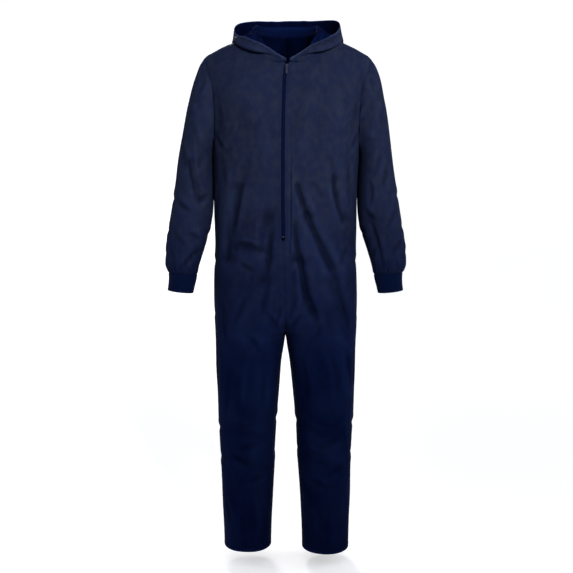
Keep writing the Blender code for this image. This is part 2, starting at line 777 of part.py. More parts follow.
def solid_of(sheet):
    """The closed wall between the outer points and the inner ones, in triangles."""
    outer = drawn_back(sheet)
    inner = outer - sheet["out"] * sheet["cloth"]
    rows, columns = outer.shape[:2]
    count = rows * columns
    index = np.arange(count).reshape(rows, columns)
    if sheet["wraps"]:
        index = np.concatenate((index, index[:, :1]), axis=1)
    a = index[:-1, :-1].ravel()
    b = index[1:, :-1].ravel()
    c = index[1:, 1:].ravel()
    d = index[:-1, 1:].ravel()
    face = np.concatenate((np.stack([a, b, c], 1), np.stack([a, c, d], 1)))
    rims = [(index[0, 1:], index[0, :-1]), (index[-1, :-1], index[-1, 1:])]
    if not sheet["wraps"]:
        rims += [(index[:-1, 0], index[1:, 0]), (index[1:, -1], index[:-1, -1])]
    rim = []
    for start, end in rims:
        rim.append(np.stack([end, start, start + count], 1))
        rim.append(np.stack([end, start + count, end + count], 1))
    faces = np.concatenate([face, face[:, ::-1] + count] + rim)
    if sheet["flips"]:
        faces = faces[:, ::-1]
    return np.concatenate((outer.reshape(-1, 3), inner.reshape(-1, 3))), faces


def along_path(points, start, end):
    """The stretch of the first column's path between two distances from its top, or from its bottom
    where they are negative, through the rows between."""
    along = np.concatenate(([0], np.cumsum(np.linalg.norm(np.diff(points[:, 0], axis=0), axis=1))))
    start = start + along[-1] if start < 0 else start
    end = end + along[-1] if end < 0 else end
    wanted = np.concatenate(([start], along[(along > start + 1e-4) & (along < end - 1e-4)], [end]))
    flat = points.reshape(len(points), -1)
    cut = np.stack([np.interp(wanted, along, flat[:, k]) for k in range(flat.shape[1])], axis=1)
    return cut.reshape((len(wanted),) + points.shape[1:])


def zip_rows(left, right):
    """The slot's two edges and the cloth beside them, with their ways out, down to the zip's end."""
    last = UPPER_ROWS + TORSO_ROWS - 1
    rows = slice(NECK_ROWS, last + 1)
    return {
        "left": left["points"][rows, 0],
        "right": right["points"][rows, 0],
        "left_in": left["points"][rows, 1],
        "right_in": right["points"][rows, 1],
        "left_out": left["normal"][rows, :2],
        "right_out": right["normal"][rows, :2],
    }


def strip(name, points, out, sunk, flips, cloth):
    """A strip under the cloth's outer side, made from its points moved in."""
    made = new_sheet(name, points - out * sunk, False, flips, cloth)
    made["normal"] = unit(out)
    made["out"] = out
    return made


def zip_middle(rows):
    """The line down the middle of the slot, and its ways across and out."""
    middle = (rows["left"] + rows["right"]) / 2
    across = unit(rows["left"] - rows["right"])
    out = unit(np.cross(np.gradient(middle, axis=0), across))
    return middle, across, out


def zip_strips(rows):
    """Two tapes, the closed chain and the bottom stop."""
    middle, across, out = zip_middle(rows)
    made = []
    for word, way in (("left", 1), ("right", -1)):
        edge = rows[word]
        reach = rows[f"{word}_in"] - edge
        share = TAPE_UNDER_FRONT / np.linalg.norm(reach, axis=1, keepdims=True)
        edge_out, next_out = rows[f"{word}_out"][:, 0], rows[f"{word}_out"][:, 1]
        columns = [middle + across * way * LAYER_GAP, edge, edge + reach * share]
        outs = [out, edge_out, edge_out * (1 - share) + next_out * share]
        grid = np.stack(columns + outs, axis=1)
        grid = along_path(grid, TAPE_FROM_NECK, -LAYER_GAP)
        sunk = CLOTH + LAYER_GAP
        made.append(strip(f"zip_tape_{word}", grid[:, :3], grid[:, 3:], sunk, way < 0, TAPE_CLOTH))
    stop_top = STOP_LENGTH + LAYER_GAP
    chain_top = SLIDER_AT + SLIDER_LENGTH / 2 + LAYER_GAP
    for name, width, start, end in (
        ("zip_chain", CHAIN_WIDTH, chain_top, -stop_top - SEAM_GAP),
        ("zip_stop", STOP_WIDTH, -stop_top, -LAYER_GAP),
    ):
        half = across * width / 2
        grid = np.stack([middle - half, middle + half, out, out], axis=1)
        grid = along_path(grid, start, end)
        made.append(strip(name, grid[:, :2], grid[:, 2:], CHAIN_SUNK, False, CHAIN_THICK))
    return made


def neck_tape(left, right):
    """The tape over the back neck seam, inside the hood's first centimetre."""
    _, angles = hood_starts(1)
    behind = np.flatnonzero(angles >= NECK_TAPE_FROM_ANGLE)
    parts = []
    for sheet, order in ((right, behind), (left, behind[-2::-1])):
        foot = sheet["points"][0, order]
        rise = sheet["points"][1, order] - foot
        long = np.linalg.norm(rise, axis=1, keepdims=True)
        for_rows = []
        for height in (NECK_TAPE_START, NECK_TAPE_START + NECK_TAPE_HEIGHT):
            share = height / long
            out = sheet["out"][0, order] * (1 - share) + sheet["out"][1, order] * share
            for_rows.append((foot + rise * share, out))
        parts.append(for_rows)
    points = np.array([np.concatenate((parts[0][k][0], parts[1][k][0])) for k in range(2)])
    outs = np.array([np.concatenate((parts[0][k][1], parts[1][k][1])) for k in range(2)])
    return strip("neck_tape", points, outs, CLOTH + LAYER_GAP, False, NECK_TAPE_CLOTH)


def material(name, colour, roughness, metallic=0.0):
    made = bpy.data.materials.new(name)
    made.use_nodes = True
    shader = made.node_tree.nodes["Principled BSDF"]
    shader.inputs["Base Color"].default_value = (*colour, 1)
    shader.inputs["Roughness"].default_value = roughness
    shader.inputs["Metallic"].default_value = metallic
    return made


def add_mesh(name, points, faces, collection, finish):
    mesh = bpy.data.meshes.new(name)
    mesh.from_pydata(points.tolist(), [], faces.tolist())
    mesh.materials.append(finish)
    mesh.shade_smooth()
    mesh.set_sharp_from_angle(angle=math.radians(40))
    made = bpy.data.objects.new(name, mesh)
    collection.objects.link(made)
    return made


def body_sheets():
    sheets = []
    for side, word in ((1, "left"), (-1, "right")):
        for face in ("front", "back"):
            grid = body_panel(side, face)
            flips = (face == "back") != (side < 0)
            sheets.append(new_sheet(f"{face}_{word}", grid, False, flips, CLOTH))
        sheets.append(new_sheet(f"sleeve_{word}", sleeve_grid(side), True, side > 0, CLOTH))
        sheets.append(new_sheet(f"cuff_{word}", cuff_grid(side), True, side > 0, CUFF_CLOTH))
        sheets.append(new_sheet(f"hood_{word}", hood_grid(side), False, side > 0, CLOTH))
    return sheets


def rounded_outline(width, length, top, corner, steps=5):
    """Points round a rectangle with round corners, whose top edge lies at the height top."""
    points = []
    for turn, x, y in (
        (0, width / 2 - corner, top - corner),
        (90, -width / 2 + corner, top - corner),
        (180, -width / 2 + corner, top - length + corner),
        (270, width / 2 - corner, top - length + corner),
    ):
        for angle in np.radians(turn + np.linspace(0, 90, steps)):
            points.append((x + corner * math.cos(angle), y + corner * math.sin(angle)))
    return points


def pull_tab(hinge, collection, finish):
    """A flat tab with a hole for the bail. Its top bar lies on the hinge axis."""
    curve = bpy.data.curves.new("zip_pull", "CURVE")
    curve.dimensions = "2D"
    curve.fill_mode = "BOTH"
    curve.extrude = PULL_THICK / 2
    top = PULL_BAR / 2
    outline = rounded_outline(PULL_WIDTH, PULL_LENGTH, top, PULL_WIDTH * 0.3)
    hole = rounded_outline(PULL_HOLE_WIDTH, PULL_HOLE_LENGTH, -top, PULL_HOLE_WIDTH * 0.2, steps=3)
    for points in (outline, hole):
        spline = curve.splines.new("POLY")
        spline.points.add(len(points) - 1)
        spline.use_cyclic_u = True
        for place, (x, y) in zip(spline.points, points):
            place.co = (x, y, 0, 1)
    curve.materials.append(finish)
    made = bpy.data.objects.new("zip_pull", curve)
    collection.objects.link(made)
    made.parent = hinge
    made.rotation_euler = (math.pi / 2, 0, 0)
    return made


def slider(hinge, collection, cutters, finish):
    """The slider's body, joined with the round bail that carries the pull tab."""
    mesh = bpy.data.meshes.new("zip_slider")
    shape = bmesh.new()
    bmesh.ops.create_cube(shape, size=1)
    thick = SLIDER_PROUD + SLIDER_SUNK
    bmesh.ops.scale(shape, vec=(SLIDER_WIDTH, thick, SLIDER_LENGTH), verts=shape.verts)
    bmesh.ops.translate(shape, vec=(0, BAIL_LIFT + thick / 2, 0), verts=shape.verts)
    shape.to_mesh(mesh)
    shape.free()
    mesh.materials.append(finish)
    body = bpy.data.objects.new("zip_slider", mesh)
    collection.objects.link(body)
    body.parent = hinge
    bpy.ops.mesh.primitive_torus_add(
        major_radius=BAIL_RADIUS, minor_radius=BAIL_WIRE, major_segments=20, minor_segments=8
    )
    bail = bpy.context.object
    bail.name = "bail"
    for owner in list(bail.users_collection):
        owner.objects.unlink(bail)
    cutters.objects.link(bail)
    bail.parent = hinge
    bail.rotation_euler = (0, math.pi / 2, 0)
    bail.hide_render = True
    bail.display_type = "WIRE"
    rounding = body.modifiers.new("rounding", "BEVEL")
    rounding.width = SLIDER_BEVEL
    rounding.segments = 2
    joined = body.modifiers.new("bail", "BOOLEAN")
    joined.operation = "UNION"
    joined.object = bail
    return body


def hinge_at(rows, collection):
    """An empty on the pull tab's axis, turned so that its -Y points out of the cloth."""
    middle, _, out = zip_middle(rows)
    here = along_path(np.stack([middle, out], axis=1), SLIDER_AT, -LAYER_GAP)[0]
    way = unit(here[1])
    made = bpy.data.objects.new("zip_hinge", None)
    made.empty_display_size = 0.01
    made.location = here[0] + way * (SLIDER_PROUD + BAIL_LIFT)
    made.rotation_euler = (math.atan2(-way[2], -way[1]), 0, 0)
    collection.objects.link(made)
    return made


def main():
    for old in list(bpy.data.objects):
        bpy.data.objects.remove(old, do_unlink=True)
    collection = bpy.data.collections.new("onesie_pajama")
    cutters = bpy.data.collections.new("onesie_cutters")
    for made in (collection, cutters):
        bpy.context.scene.collection.children.link(made)
    fleece = material("navy velour fleece", (0.010, 0.014, 0.040), 0.85)
    rib = material("navy rib knit", (0.009, 0.012, 0.034), 0.90)
    tape = material("navy woven tape", (0.008, 0.010, 0.028), 0.80)
    metal = material("dark zip metal", (0.070, 0.080, 0.110), 0.35, 0.9)

    sheets = body_sheets()
    mitre(sheets)
    fold_and_lean(sheets)
    mitre(sheets)
    named = {sheet["name"]: sheet for sheet in sheets}
    rows = zip_rows(named["front_left"], named["front_right"])
    strips = zip_strips(rows) + [neck_tape(named["hood_left"], named["hood_right"])]
    for sheet in sheets + strips:
        points, faces = solid_of(sheet)
        finish = fleece
        if sheet["name"].startswith("cuff"):
            finish = rib
        if sheet["name"].startswith(("zip", "neck")):
            finish = tape
        add_mesh(sheet["name"], points, faces, collection, finish)
    hinge = hinge_at(rows, collection)
    slider(hinge, collection, cutters, metal)
    pull_tab(hinge, collection, metal)


main()
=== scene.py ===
# Adult hooded onesie pajama in navy velour fleece, filled out as when it is worn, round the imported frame.
# Metres, +Z up, the front faces -Y and the wearer's left is +X. A cloth piece is a grid of points, rows
# down it and columns across it, worked out from the tables below, then creased, then given its wall.

import json
import math

import bpy
import numpy as np
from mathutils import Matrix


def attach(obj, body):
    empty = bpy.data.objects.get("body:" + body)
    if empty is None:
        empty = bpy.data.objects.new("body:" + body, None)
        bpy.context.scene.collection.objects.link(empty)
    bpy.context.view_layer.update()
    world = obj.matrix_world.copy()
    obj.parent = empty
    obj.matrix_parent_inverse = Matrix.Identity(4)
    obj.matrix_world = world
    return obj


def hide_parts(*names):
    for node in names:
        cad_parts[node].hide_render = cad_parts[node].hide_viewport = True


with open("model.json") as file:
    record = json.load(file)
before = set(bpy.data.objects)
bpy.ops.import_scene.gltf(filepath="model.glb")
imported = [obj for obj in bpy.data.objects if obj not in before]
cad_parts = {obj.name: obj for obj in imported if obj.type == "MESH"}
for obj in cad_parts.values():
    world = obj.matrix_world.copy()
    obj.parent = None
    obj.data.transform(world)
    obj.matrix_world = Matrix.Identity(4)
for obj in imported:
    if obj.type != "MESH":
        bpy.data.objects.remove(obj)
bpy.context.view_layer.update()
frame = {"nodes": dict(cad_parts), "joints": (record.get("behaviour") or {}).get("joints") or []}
print("frame loaded:", len(frame["nodes"]), "nodes")


# A short table as one array for each named column; its first column rises.
def table(names, rows):
    return dict(zip(names.split(), np.array(rows, float).T))


pathSamples = 240  # points on a path before it is taken again at even shares


# The form

body = {
    "underarmZ": -0.330, "crotchZ": -0.876, "zipEndZ": -0.585, "hemZ": {1: -1.546, -1: -1.538},
    "neckHalf": 0.092, "neckDrop": 0.092, "neckPower": 2.8, "shoulderTip": 0.2375,
    "shoulderRound": 0.160,  # drop over which front and back round out to full depth
    "zipSlot": 0.010, "zipClosesOver": 0.012,
    "placket": 0.014, "placketFade": 0.032,  # creases die out towards the zip
    "upperRows": 84, "neckRows": 56, "torsoRows": 48, "seatRows": 50, "legRows": 112,
    "closingRows": 5, "hemRows": 26, "hemBand": 0.028,
    "columns": 92,
    # how wide and how much closer together the columns or rows lie there
    "denserAtEdge": (0.022, 5), "denserAtPlacket": (0.068, 0.012, 3), "denserAtCrotch": (0.12, 2),
    "cloth": 0.002,
}

# Half sections: side seam x, parting of the legs as a share of it, depths, squareness
bodyForm = table("z side split front back power", (
    (-1.560, 0.1900, 0.2553, 0.0745, 0.0745, 2.10),
    (-1.402, 0.1945, 0.2159, 0.0800, 0.0820, 2.10),
    (-1.275, 0.1990, 0.1794, 0.0870, 0.0900, 2.10),
    (-1.087, 0.2053, 0.1193, 0.0990, 0.1030, 2.15),
    (-0.965, 0.2090, 0.0646, 0.1100, 0.1140, 2.15),
    (-0.920, 0.2105, 0.0333, 0.1150, 0.1210, 2.20),
    (-0.876, 0.2115, 0.0000, 0.1200, 0.1300, 2.20),
    (-0.860, 0.2118, -0.0800, 0.1215, 0.1325, 2.20),
    (-0.820, 0.2120, -0.3000, 0.1245, 0.1375, 2.25),
    (-0.760, 0.2122, -0.6000, 0.1280, 0.1410, 2.30),
    (-0.700, 0.2120, -0.8600, 0.1300, 0.1400, 2.30),
    (-0.585, 0.2102, -1.0000, 0.1325, 0.1240, 2.30),
    (-0.450, 0.2110, -1.0000, 0.1340, 0.1180, 2.35),
    (-0.330, 0.2150, -1.0000, 0.1310, 0.1220, 2.40),
    (-0.300, 0.2175, -1.0000, 0.1290, 0.1235, 2.40),
    (-0.242, 0.2255, -1.0000, 0.1260, 0.1250, 2.40),
    (-0.153, 0.2360, -1.0000, 0.1190, 0.1230, 2.40),
    (-0.065, 0.2620, -1.0000, 0.1090, 0.1180, 2.40),
    (0.060, 0.2900, -1.0000, 0.0950, 0.1050, 2.40),
))
ridgeForm = table("x z", (  # where front and back meet over the shoulder
    (0.0000, 0.0500), (0.0500, 0.0300), (0.0920, 0.0000), (0.1400, -0.0175),
    (0.1850, -0.0376), (0.2375, -0.0654), (0.3000, -0.1000),
))
armholeForm = table("z front back", (
    (-0.3300, 0.2150, 0.2150),
    (-0.3000, 0.2100, 0.2120),
    (-0.2420, 0.2095, 0.2140),
    (-0.1530, 0.2165, 0.2215),
    (-0.0870, 0.2370, 0.2350),
    (-0.0654, 0.2375, 0.2375),
))
zipLine = table("z x", (
    (-0.876, 0.0000), (-0.700, -0.0030), (-0.585, -0.0060), (-0.300, -0.0090),
    (-0.150, -0.0095), (-0.110, -0.0060), (-0.092, -0.0020),
))
leanForm = table("z x", (  # the garment leans a little as it hangs
    (-1.540, 0.0003), (-1.300, -0.0010), (-0.900, -0.0033), (-0.540, -0.0033), (-0.330, -0.0015),
    (-0.190, 0.0015), (-0.100, 0.0040), (0.000, 0.0030), (0.060, 0.0008),
))
sleeveForm = table("ring outerX outerZ innerX innerZ midY depth", (
    (1, 0.2560, -0.0915, 0.2156, -0.3400, 0.0000, 0.0640),
    (2, 0.2715, -0.1310, 0.2160, -0.3500, 0.0000, 0.0680),
    (3, 0.2850, -0.1870, 0.2163, -0.3640, 0.0000, 0.0700),
    (4, 0.2965, -0.2460, 0.2163, -0.3830, 0.0000, 0.0710),
    (5, 0.3070, -0.3060, 0.2160, -0.4100, 0.0000, 0.0710),
    (6, 0.3165, -0.3640, 0.2158, -0.4440, -0.0010, 0.0700),
    (7, 0.3255, -0.4250, 0.2158, -0.4800, -0.0040, 0.0680),
    (8, 0.3345, -0.4850, 0.2166, -0.5150, -0.0090, 0.0650),
    (9, 0.3430, -0.5420, 0.2205, -0.5560, -0.0160, 0.0625),
    (10, 0.3495, -0.5930, 0.2330, -0.6030, -0.0240, 0.0600),
    (11, 0.3530, -0.6340, 0.2450, -0.6420, -0.0320, 0.0570),
    (12, 0.3540, -0.6660, 0.2545, -0.6720, -0.0380, 0.0500),
    (13, 0.3450, -0.6915, 0.2605, -0.6955, -0.0430, 0.0340),
))
cuffForm = table("ring outerX outerZ innerX innerZ midY depth", (
    (0, 0.3450, -0.6915, 0.2605, -0.6955, -0.0430, 0.0340),
    (1, 0.3440, -0.7050, 0.2630, -0.7110, -0.0445, 0.0330),
    (2, 0.3450, -0.7245, 0.2680, -0.7315, -0.0470, 0.0320),
    (3, 0.3475, -0.7430, 0.2725, -0.7520, -0.0500, 0.0310),
))


# A cubic from a to b at the share t of a step, with the slopes p and q at its ends.
def cubicPiece(a, b, p, q, step, t):
    rise = 3 * t**2 - 2 * t**3
    bow = (t**3 - 2 * t**2 + t) * p + (t**3 - t**2) * q
    return a * (1 - rise) + b * rise + bow * step


# A monotone cubic through (xs, ys): each slope is the harmonic mean of its neighbours', so no overshoot.
def smooth(xs, ys, at):
    at = np.asarray(at, float)
    step = np.diff(xs)
    slope = np.diff(ys) / step
    sameWay = slope[:-1] * slope[1:] > 0
    total = np.where(sameWay, slope[:-1] + slope[1:], 1)
    middle = np.where(sameWay, 2 * slope[:-1] * slope[1:] / total, 0)
    tangent = np.concatenate(([slope[0]], middle, [slope[-1]]))
    k = np.clip(np.searchsorted(xs, at) - 1, 0, len(xs) - 2)
    t = np.clip((at - xs[k]) / step[k], 0, 1)
    return cubicPiece(ys[k], ys[k + 1], tangent[k], tangent[k + 1], step[k], t)


def look(rows, name, at):
    first = next(iter(rows))
    return smooth(rows[first], rows[name], at)


def unit(vectors):
    return vectors / np.maximum(np.linalg.norm(vectors, axis=-1, keepdims=True), 1e-12)


# A bell: 1 at the middle, exp(-x^2) away from it.
def bell(x):
    return np.exp(-(x**2))


def fullTurn(count):
    return np.linspace(0, 2 * np.pi, count, endpoint=False)


# Lengths along a grid of points, summed from 0 down its columns, or along its rows with axis 1.
def summed(points, axis=0):
    along = np.cumsum(np.linalg.norm(np.diff(points, axis=axis), axis=-1), axis=axis)
    return np.concatenate((np.zeros_like(np.take(along, [0], axis=axis)), along), axis=axis)


# Points or directions along a path, taken at the wanted lengths.
def takenAt(wanted, along, values):
    return np.stack([np.interp(wanted, along, values[:, k]) for k in range(3)], axis=-1)


# Each row's path, taken again at the given shares of its own length.
def evenRows(points, shares):
    along = summed(points, 1)
    along /= along[:, -1:]
    apart = 2.0 * np.arange(len(points))[:, None]
    wanted = (shares[None] + apart).ravel()
    rows = takenAt(wanted, (along + apart).ravel(), points.reshape(-1, 3))
    return rows.reshape(len(points), len(shares), 3)


# Shares from 0 to 1, closer together near places given as share, width and added density: the inverse
# of the summed density.
def crowded(count, places):
    fine = np.linspace(0, 1, 2001)
    density = 1.0 + sum(more * bell((fine - at) / width) for at, width, more in places)
    total = np.concatenate(([0], np.cumsum((density[1:] + density[:-1]) / 2)))
    return np.interp(np.linspace(0, total[-1], count), total, fine)


# The body's y at (x, z): a squared ellipse across, |x|^p + |y|^p = 1, rounded over at the ridge.
def depthAt(x, z, face):
    side = look(bodyForm, "side", z)
    centre = np.maximum(side * (1 + look(bodyForm, "split", z)) / 2, 0)
    power = look(bodyForm, "power", z)
    across = np.clip(1 - (np.abs(np.abs(x) - centre) / (side - centre)) ** power, 0, 1) ** (1 / power)
    fall = np.clip((look(ridgeForm, "z", np.abs(x)) - z) / body["shoulderRound"], 0, 1)
    down = np.sqrt(1 - (1 - fall) ** 2)
    sign = -1 if face == "front" else 1
    return sign * look(bodyForm, face, z) * across * down


def bodyPoint(x, z, face):
    return np.stack([x, depthAt(x, z, face), z], axis=-1)


# A half's centre edge: the zip line, and half the slot's width where the zip is.
def centreX(z, side, face):
    if face == "back":
        return np.zeros_like(z)
    closing = np.clip((z - body["zipEndZ"]) / body["zipClosesOver"] + 1, 0, 1)
    return side * look(zipLine, "x", z) + closing * body["zipSlot"] / 2


# The neck seam from the shoulder to the middle, x and z on a squared ellipse, and the angle round it.
def neckline(side, face, count):
    turn = np.radians(np.linspace(90, 0, pathSamples))
    endZ = np.array(-body["neckDrop"] if face == "front" else 0.0)
    endX = float(centreX(endZ, side, face))
    x = endX + (body["neckHalf"] - endX) * np.sin(turn) ** (2 / body["neckPower"])
    z = endZ * np.cos(turn) ** (2 / body["neckPower"])
    points = evenRows(bodyPoint(x, z, face)[None], np.linspace(0, 1, count))[0]
    width = np.clip(points[:, 0] / body["neckHalf"], 0, 1)
    angle = np.degrees(np.arcsin(width ** (body["neckPower"] / 2)))
    angle = np.linspace(90, 0, count) * 0.5 + angle * 0.5
    angle[-1] = 0
    return points, angle if face == "front" else 180 - angle


# The armhole seam from the shoulder tip to the underarm, level by level on its own x.
def armhole(face, count):
    turn = np.linspace(0, np.pi, pathSamples)
    tipZ = float(look(ridgeForm, "z", body["shoulderTip"]))
    z = tipZ + (body["underarmZ"] - tipZ) * (1 - np.cos(turn)) / 2
    return evenRows(bodyPoint(look(armholeForm, face, z), z, face)[None], np.linspace(0, 1, count))[0]


# Heights of the level rows below the underarm: torso, zip's end, seat, legs, and closer at the hem.
def bodyLevels(side):
    hem = body["hemZ"][side]
    zipFoot = body["zipEndZ"] - body["zipClosesOver"]
    torso = np.linspace(body["underarmZ"], body["zipEndZ"], body["torsoRows"])[1:]
    closing = np.linspace(body["zipEndZ"], zipFoot, body["closingRows"])[1:]
    denser = [(1, *body["denserAtCrotch"])]
    seat = zipFoot + (body["crotchZ"] - zipFoot) * crowded(body["seatRows"], denser)[1:]
    leg = np.linspace(body["crotchZ"], hem + body["hemBand"], body["legRows"])[1:]
    end = np.linspace(hem + body["hemBand"], hem, body["hemRows"])[1:]
    return np.concatenate((torso, closing, seat, leg, end))


# Half of the front or back: every row runs from the centre edge to the armhole, side seam or outseam.
def bodyPanel(side, face):
    neck, _ = neckline(side, face, body["neckRows"] + 1)
    arm = armhole(face, body["upperRows"] + 1)
    below = np.linspace(neck[-1, 2], body["underarmZ"], body["upperRows"] - body["neckRows"] + 1)[1:]
    levels = bodyLevels(side)
    split = look(bodyForm, "split", levels)
    width = look(bodyForm, "side", levels)
    legEdge = np.where(split > 0, np.maximum(split, 0) * width, centreX(levels, side, face))
    innerX = np.concatenate((neck[:, 0], centreX(below, side, face), legEdge))[:, None]
    innerZ = np.concatenate((neck[:, 2], below, levels))[:, None]
    outerX = np.concatenate((arm[:, 0], width))[:, None]
    outerZ = np.concatenate((arm[:, 2], levels))[:, None]
    lift = np.zeros_like(innerX)
    lift[: len(arm), 0] = (1 - np.arange(len(arm)) / body["upperRows"]) ** 2
    s = ((1 - np.cos(np.linspace(0, np.pi, pathSamples))) / 2)[None]
    x = innerX + (outerX - innerX) * s
    z = innerZ + (outerZ - innerZ) * s
    ridge = look(ridgeForm, "z", np.abs(x))
    z = z + lift * (ridge - ridge[:, :1] - (ridge[:, -1:] - ridge[:, :1]) * s)
    denser = [(0, *body["denserAtEdge"]), (1, *body["denserAtEdge"])]
    if face == "front":
        denser.append(body["denserAtPlacket"])
    shares = crowded(body["columns"], denser)
    grid = evenRows(bodyPoint(x, z, face), shares)
    grid[: len(arm), -1] = arm
    grid[..., 0] *= side
    return grid


# A closed ring: centre + half the outer-inner line times cos + its depth forwards times sin.
def ringPoints(rows, at, spread):
    value = {name: look(rows, name, at)[:, None] for name in rows}
    zero = np.zeros_like(value["midY"])
    outer = np.stack([value["outerX"], value["midY"], value["outerZ"]], axis=-1)
    inner = np.stack([value["innerX"], value["midY"], value["innerZ"]], axis=-1)
    forward = np.stack([zero, -value["depth"], zero], axis=-1)
    turn = spread[None, :, None]
    return (outer + inner) / 2 + (outer - inner) / 2 * np.cos(turn) + forward * np.sin(turn)


sleeve = {
    "rowsAtSeam": 12, "rows": 84, "rowsAtCuff": 26,
    "seamPart": 0.6, "cuffPart": 1.2, "armholeFadesBy": 5,  # counted in rings of the form above
    "cloth": 0.002,
}


# The sleeve: the armhole seam first, whose oddness against a plain ring dies out down the arm.
def sleeveGrid(side):
    front = armhole("front", body["upperRows"] + 1)
    back = armhole("back", body["upperRows"] + 1)
    first = np.concatenate((front, back[-2:0:-1]))
    spread = fullTurn(len(first))
    halfDepth = (back[:, 1].max() - front[:, 1].min()) / 2
    start = (0, front[0, 0], front[0, 2], front[-1, 0], front[-1, 2], 0, halfDepth)
    rows = {name: np.concatenate(([value], sleeveForm[name])) for name, value in zip(sleeveForm, start)}
    last = rows["ring"][-1]
    seamEnd, cuffStart = sleeve["seamPart"], last - sleeve["cuffPart"]
    at = np.concatenate((
        np.linspace(0, seamEnd, sleeve["rowsAtSeam"]),
        np.linspace(seamEnd, cuffStart, sleeve["rows"])[1:],
        np.linspace(cuffStart, last, sleeve["rowsAtCuff"])[1:],
    ))
    plain = ringPoints(rows, at, spread)
    fade = np.maximum(0, 1 - at / sleeve["armholeFadesBy"]) ** 2
    grid = plain + (first - plain[0]) * fade[:, None, None]
    grid[..., 0] *= side
    return grid


cuff = {
    "ribs": 60, "columnsPerRib": 6, "rows": 20, "denserAtEdge": (0.08, 2), "cloth": 0.003,
    "ribDepth": 0.00055, "ribRoundness": 0.8, "ribFade": 0.0030, "ribAtEnd": 0.35,
    "seamDip": 0.0004, "seamDipWidth": 0.003,
}


def cuffGrid(side):
    denser = [(0, *cuff["denserAtEdge"]), (1, *cuff["denserAtEdge"])]
    at = cuffForm["ring"][-1] * crowded(cuff["rows"], denser)
    grid = ringPoints(cuffForm, at, fullTurn(cuff["ribs"] * cuff["columnsPerRib"]))
    grid[..., 0] *= side
    return grid


# The hood lies back: ribs leave the neck seam at an angle round it (0 front, 180 behind), rise to the
# roll, drop to the bag's bottom, swell outwards and end at the opening edge.
hood = {
    "neckMiddle": (0, 0.03, -0.06),
    "roll": table("angle x y z", (
        (0, 0.0050, -0.1135, -0.0890), (22, 0.0410, -0.1060, -0.0790), (42, 0.0555, -0.0800, -0.0470),
        (62, 0.0710, -0.0340, -0.0140), (90, 0.0840, 0.0150, 0.0130), (104, 0.0905, 0.0480, 0.0330),
        (118, 0.0890, 0.0660, 0.0410), (138, 0.0700, 0.0880, 0.0440), (160, 0.0360, 0.1000, 0.0455),
        (180, 0.0000, 0.1040, 0.0460),
    )),
    "bag": table("angle x y z", (
        (0, 0.0055, -0.1150, -0.0870), (22, 0.0415, -0.1055, -0.0725), (42, 0.0740, -0.1040, -0.0690),
        (62, 0.1120, -0.0880, -0.0600), (90, 0.1500, -0.0300, -0.0280), (104, 0.1420, 0.0200, -0.0090),
        (118, 0.1560, 0.1000, -0.0750), (138, 0.1200, 0.1400, -0.1450), (160, 0.0650, 0.1480, -0.1850),
        (180, 0.0000, 0.1500, -0.1950),
    )),
    "swell": table("angle x y z", (
        (0, 0.0060, -0.1165, -0.0850), (22, 0.0415, -0.1030, -0.0665), (42, 0.0780, -0.1070, -0.0533),
        (62, 0.1195, -0.0847, -0.0396), (90, 0.1606, -0.0205, -0.0125), (104, 0.1660, 0.0195, -0.0195),
        (118, 0.1700, 0.0720, -0.0320), (138, 0.1360, 0.1480, -0.0550), (160, 0.0780, 0.1780, -0.0750),
        (180, 0.0000, 0.1880, -0.0780),
    )),
    "edge": table("angle x y z", (
        (0, 0.0065, -0.1175, -0.0825), (22, 0.0405, -0.0990, -0.0600), (42, 0.0670, -0.0910, -0.0412),
        (62, 0.1010, -0.0677, -0.0256), (90, 0.1321, -0.0235, -0.0055), (104, 0.1480, 0.0170, 0.0030),
        (118, 0.1620, 0.0540, 0.0300), (138, 0.1420, 0.1000, 0.0525), (160, 0.0790, 0.1320, 0.0570),
        (180, 0.0000, 0.1430, 0.0590),
    )),
    "spread": table("angle spread", (
        (0, 0), (22, 0), (42, 0.004), (62, 0.009), (90, 0.012), (104, 0.012), (118, 0.016), (138, 0.018),
        (180, 0.018),
    )),
    "coarseNeck": 9, "ribPoints": 14, "rows": 96, "denser": [(0, 0.03, 2), (1, 0.05, 3)], "seamFades": 2,
    "tipTilt": 0.009, "tipAngle": 118, "tipReach": 40,
    # a fold's controls at the roll, outwards and down, and at the bag, as shares of the spread
    "leastSpread": 0.001, "rollFold": ((-0.35, 0.30), (0.15, 0), (0.90, 0.50)), "bagFold": (-0.30, 0.50),
    "smoothings": 3, "stay": 0.45, "beside": 0.45, "above": 0.10,
    "clearance": 0.006, "pushes": 4, "longestPush": 0.03, "pushFrom": 0.97, "pushOver": 0.06,
    "cloth": 0.002,
}


# How far a point lies outside the body's rounded form, as a share of its size.
def offBody(x, y, z):
    faceDepth = np.where(y < 0, look(bodyForm, "front", z), look(bodyForm, "back", z))
    power = look(bodyForm, "power", z)
    across = np.clip(1 - (np.abs(x) / look(bodyForm, "side", z)) ** power, 0.02, 1)
    depth = faceDepth * across ** (1 / power)
    centreZ = look(ridgeForm, "z", np.abs(x)) - body["shoulderRound"]
    up = np.maximum(z - centreZ, 0) / body["shoulderRound"]
    return np.sqrt((y / depth) ** 2 + up**2) - 1


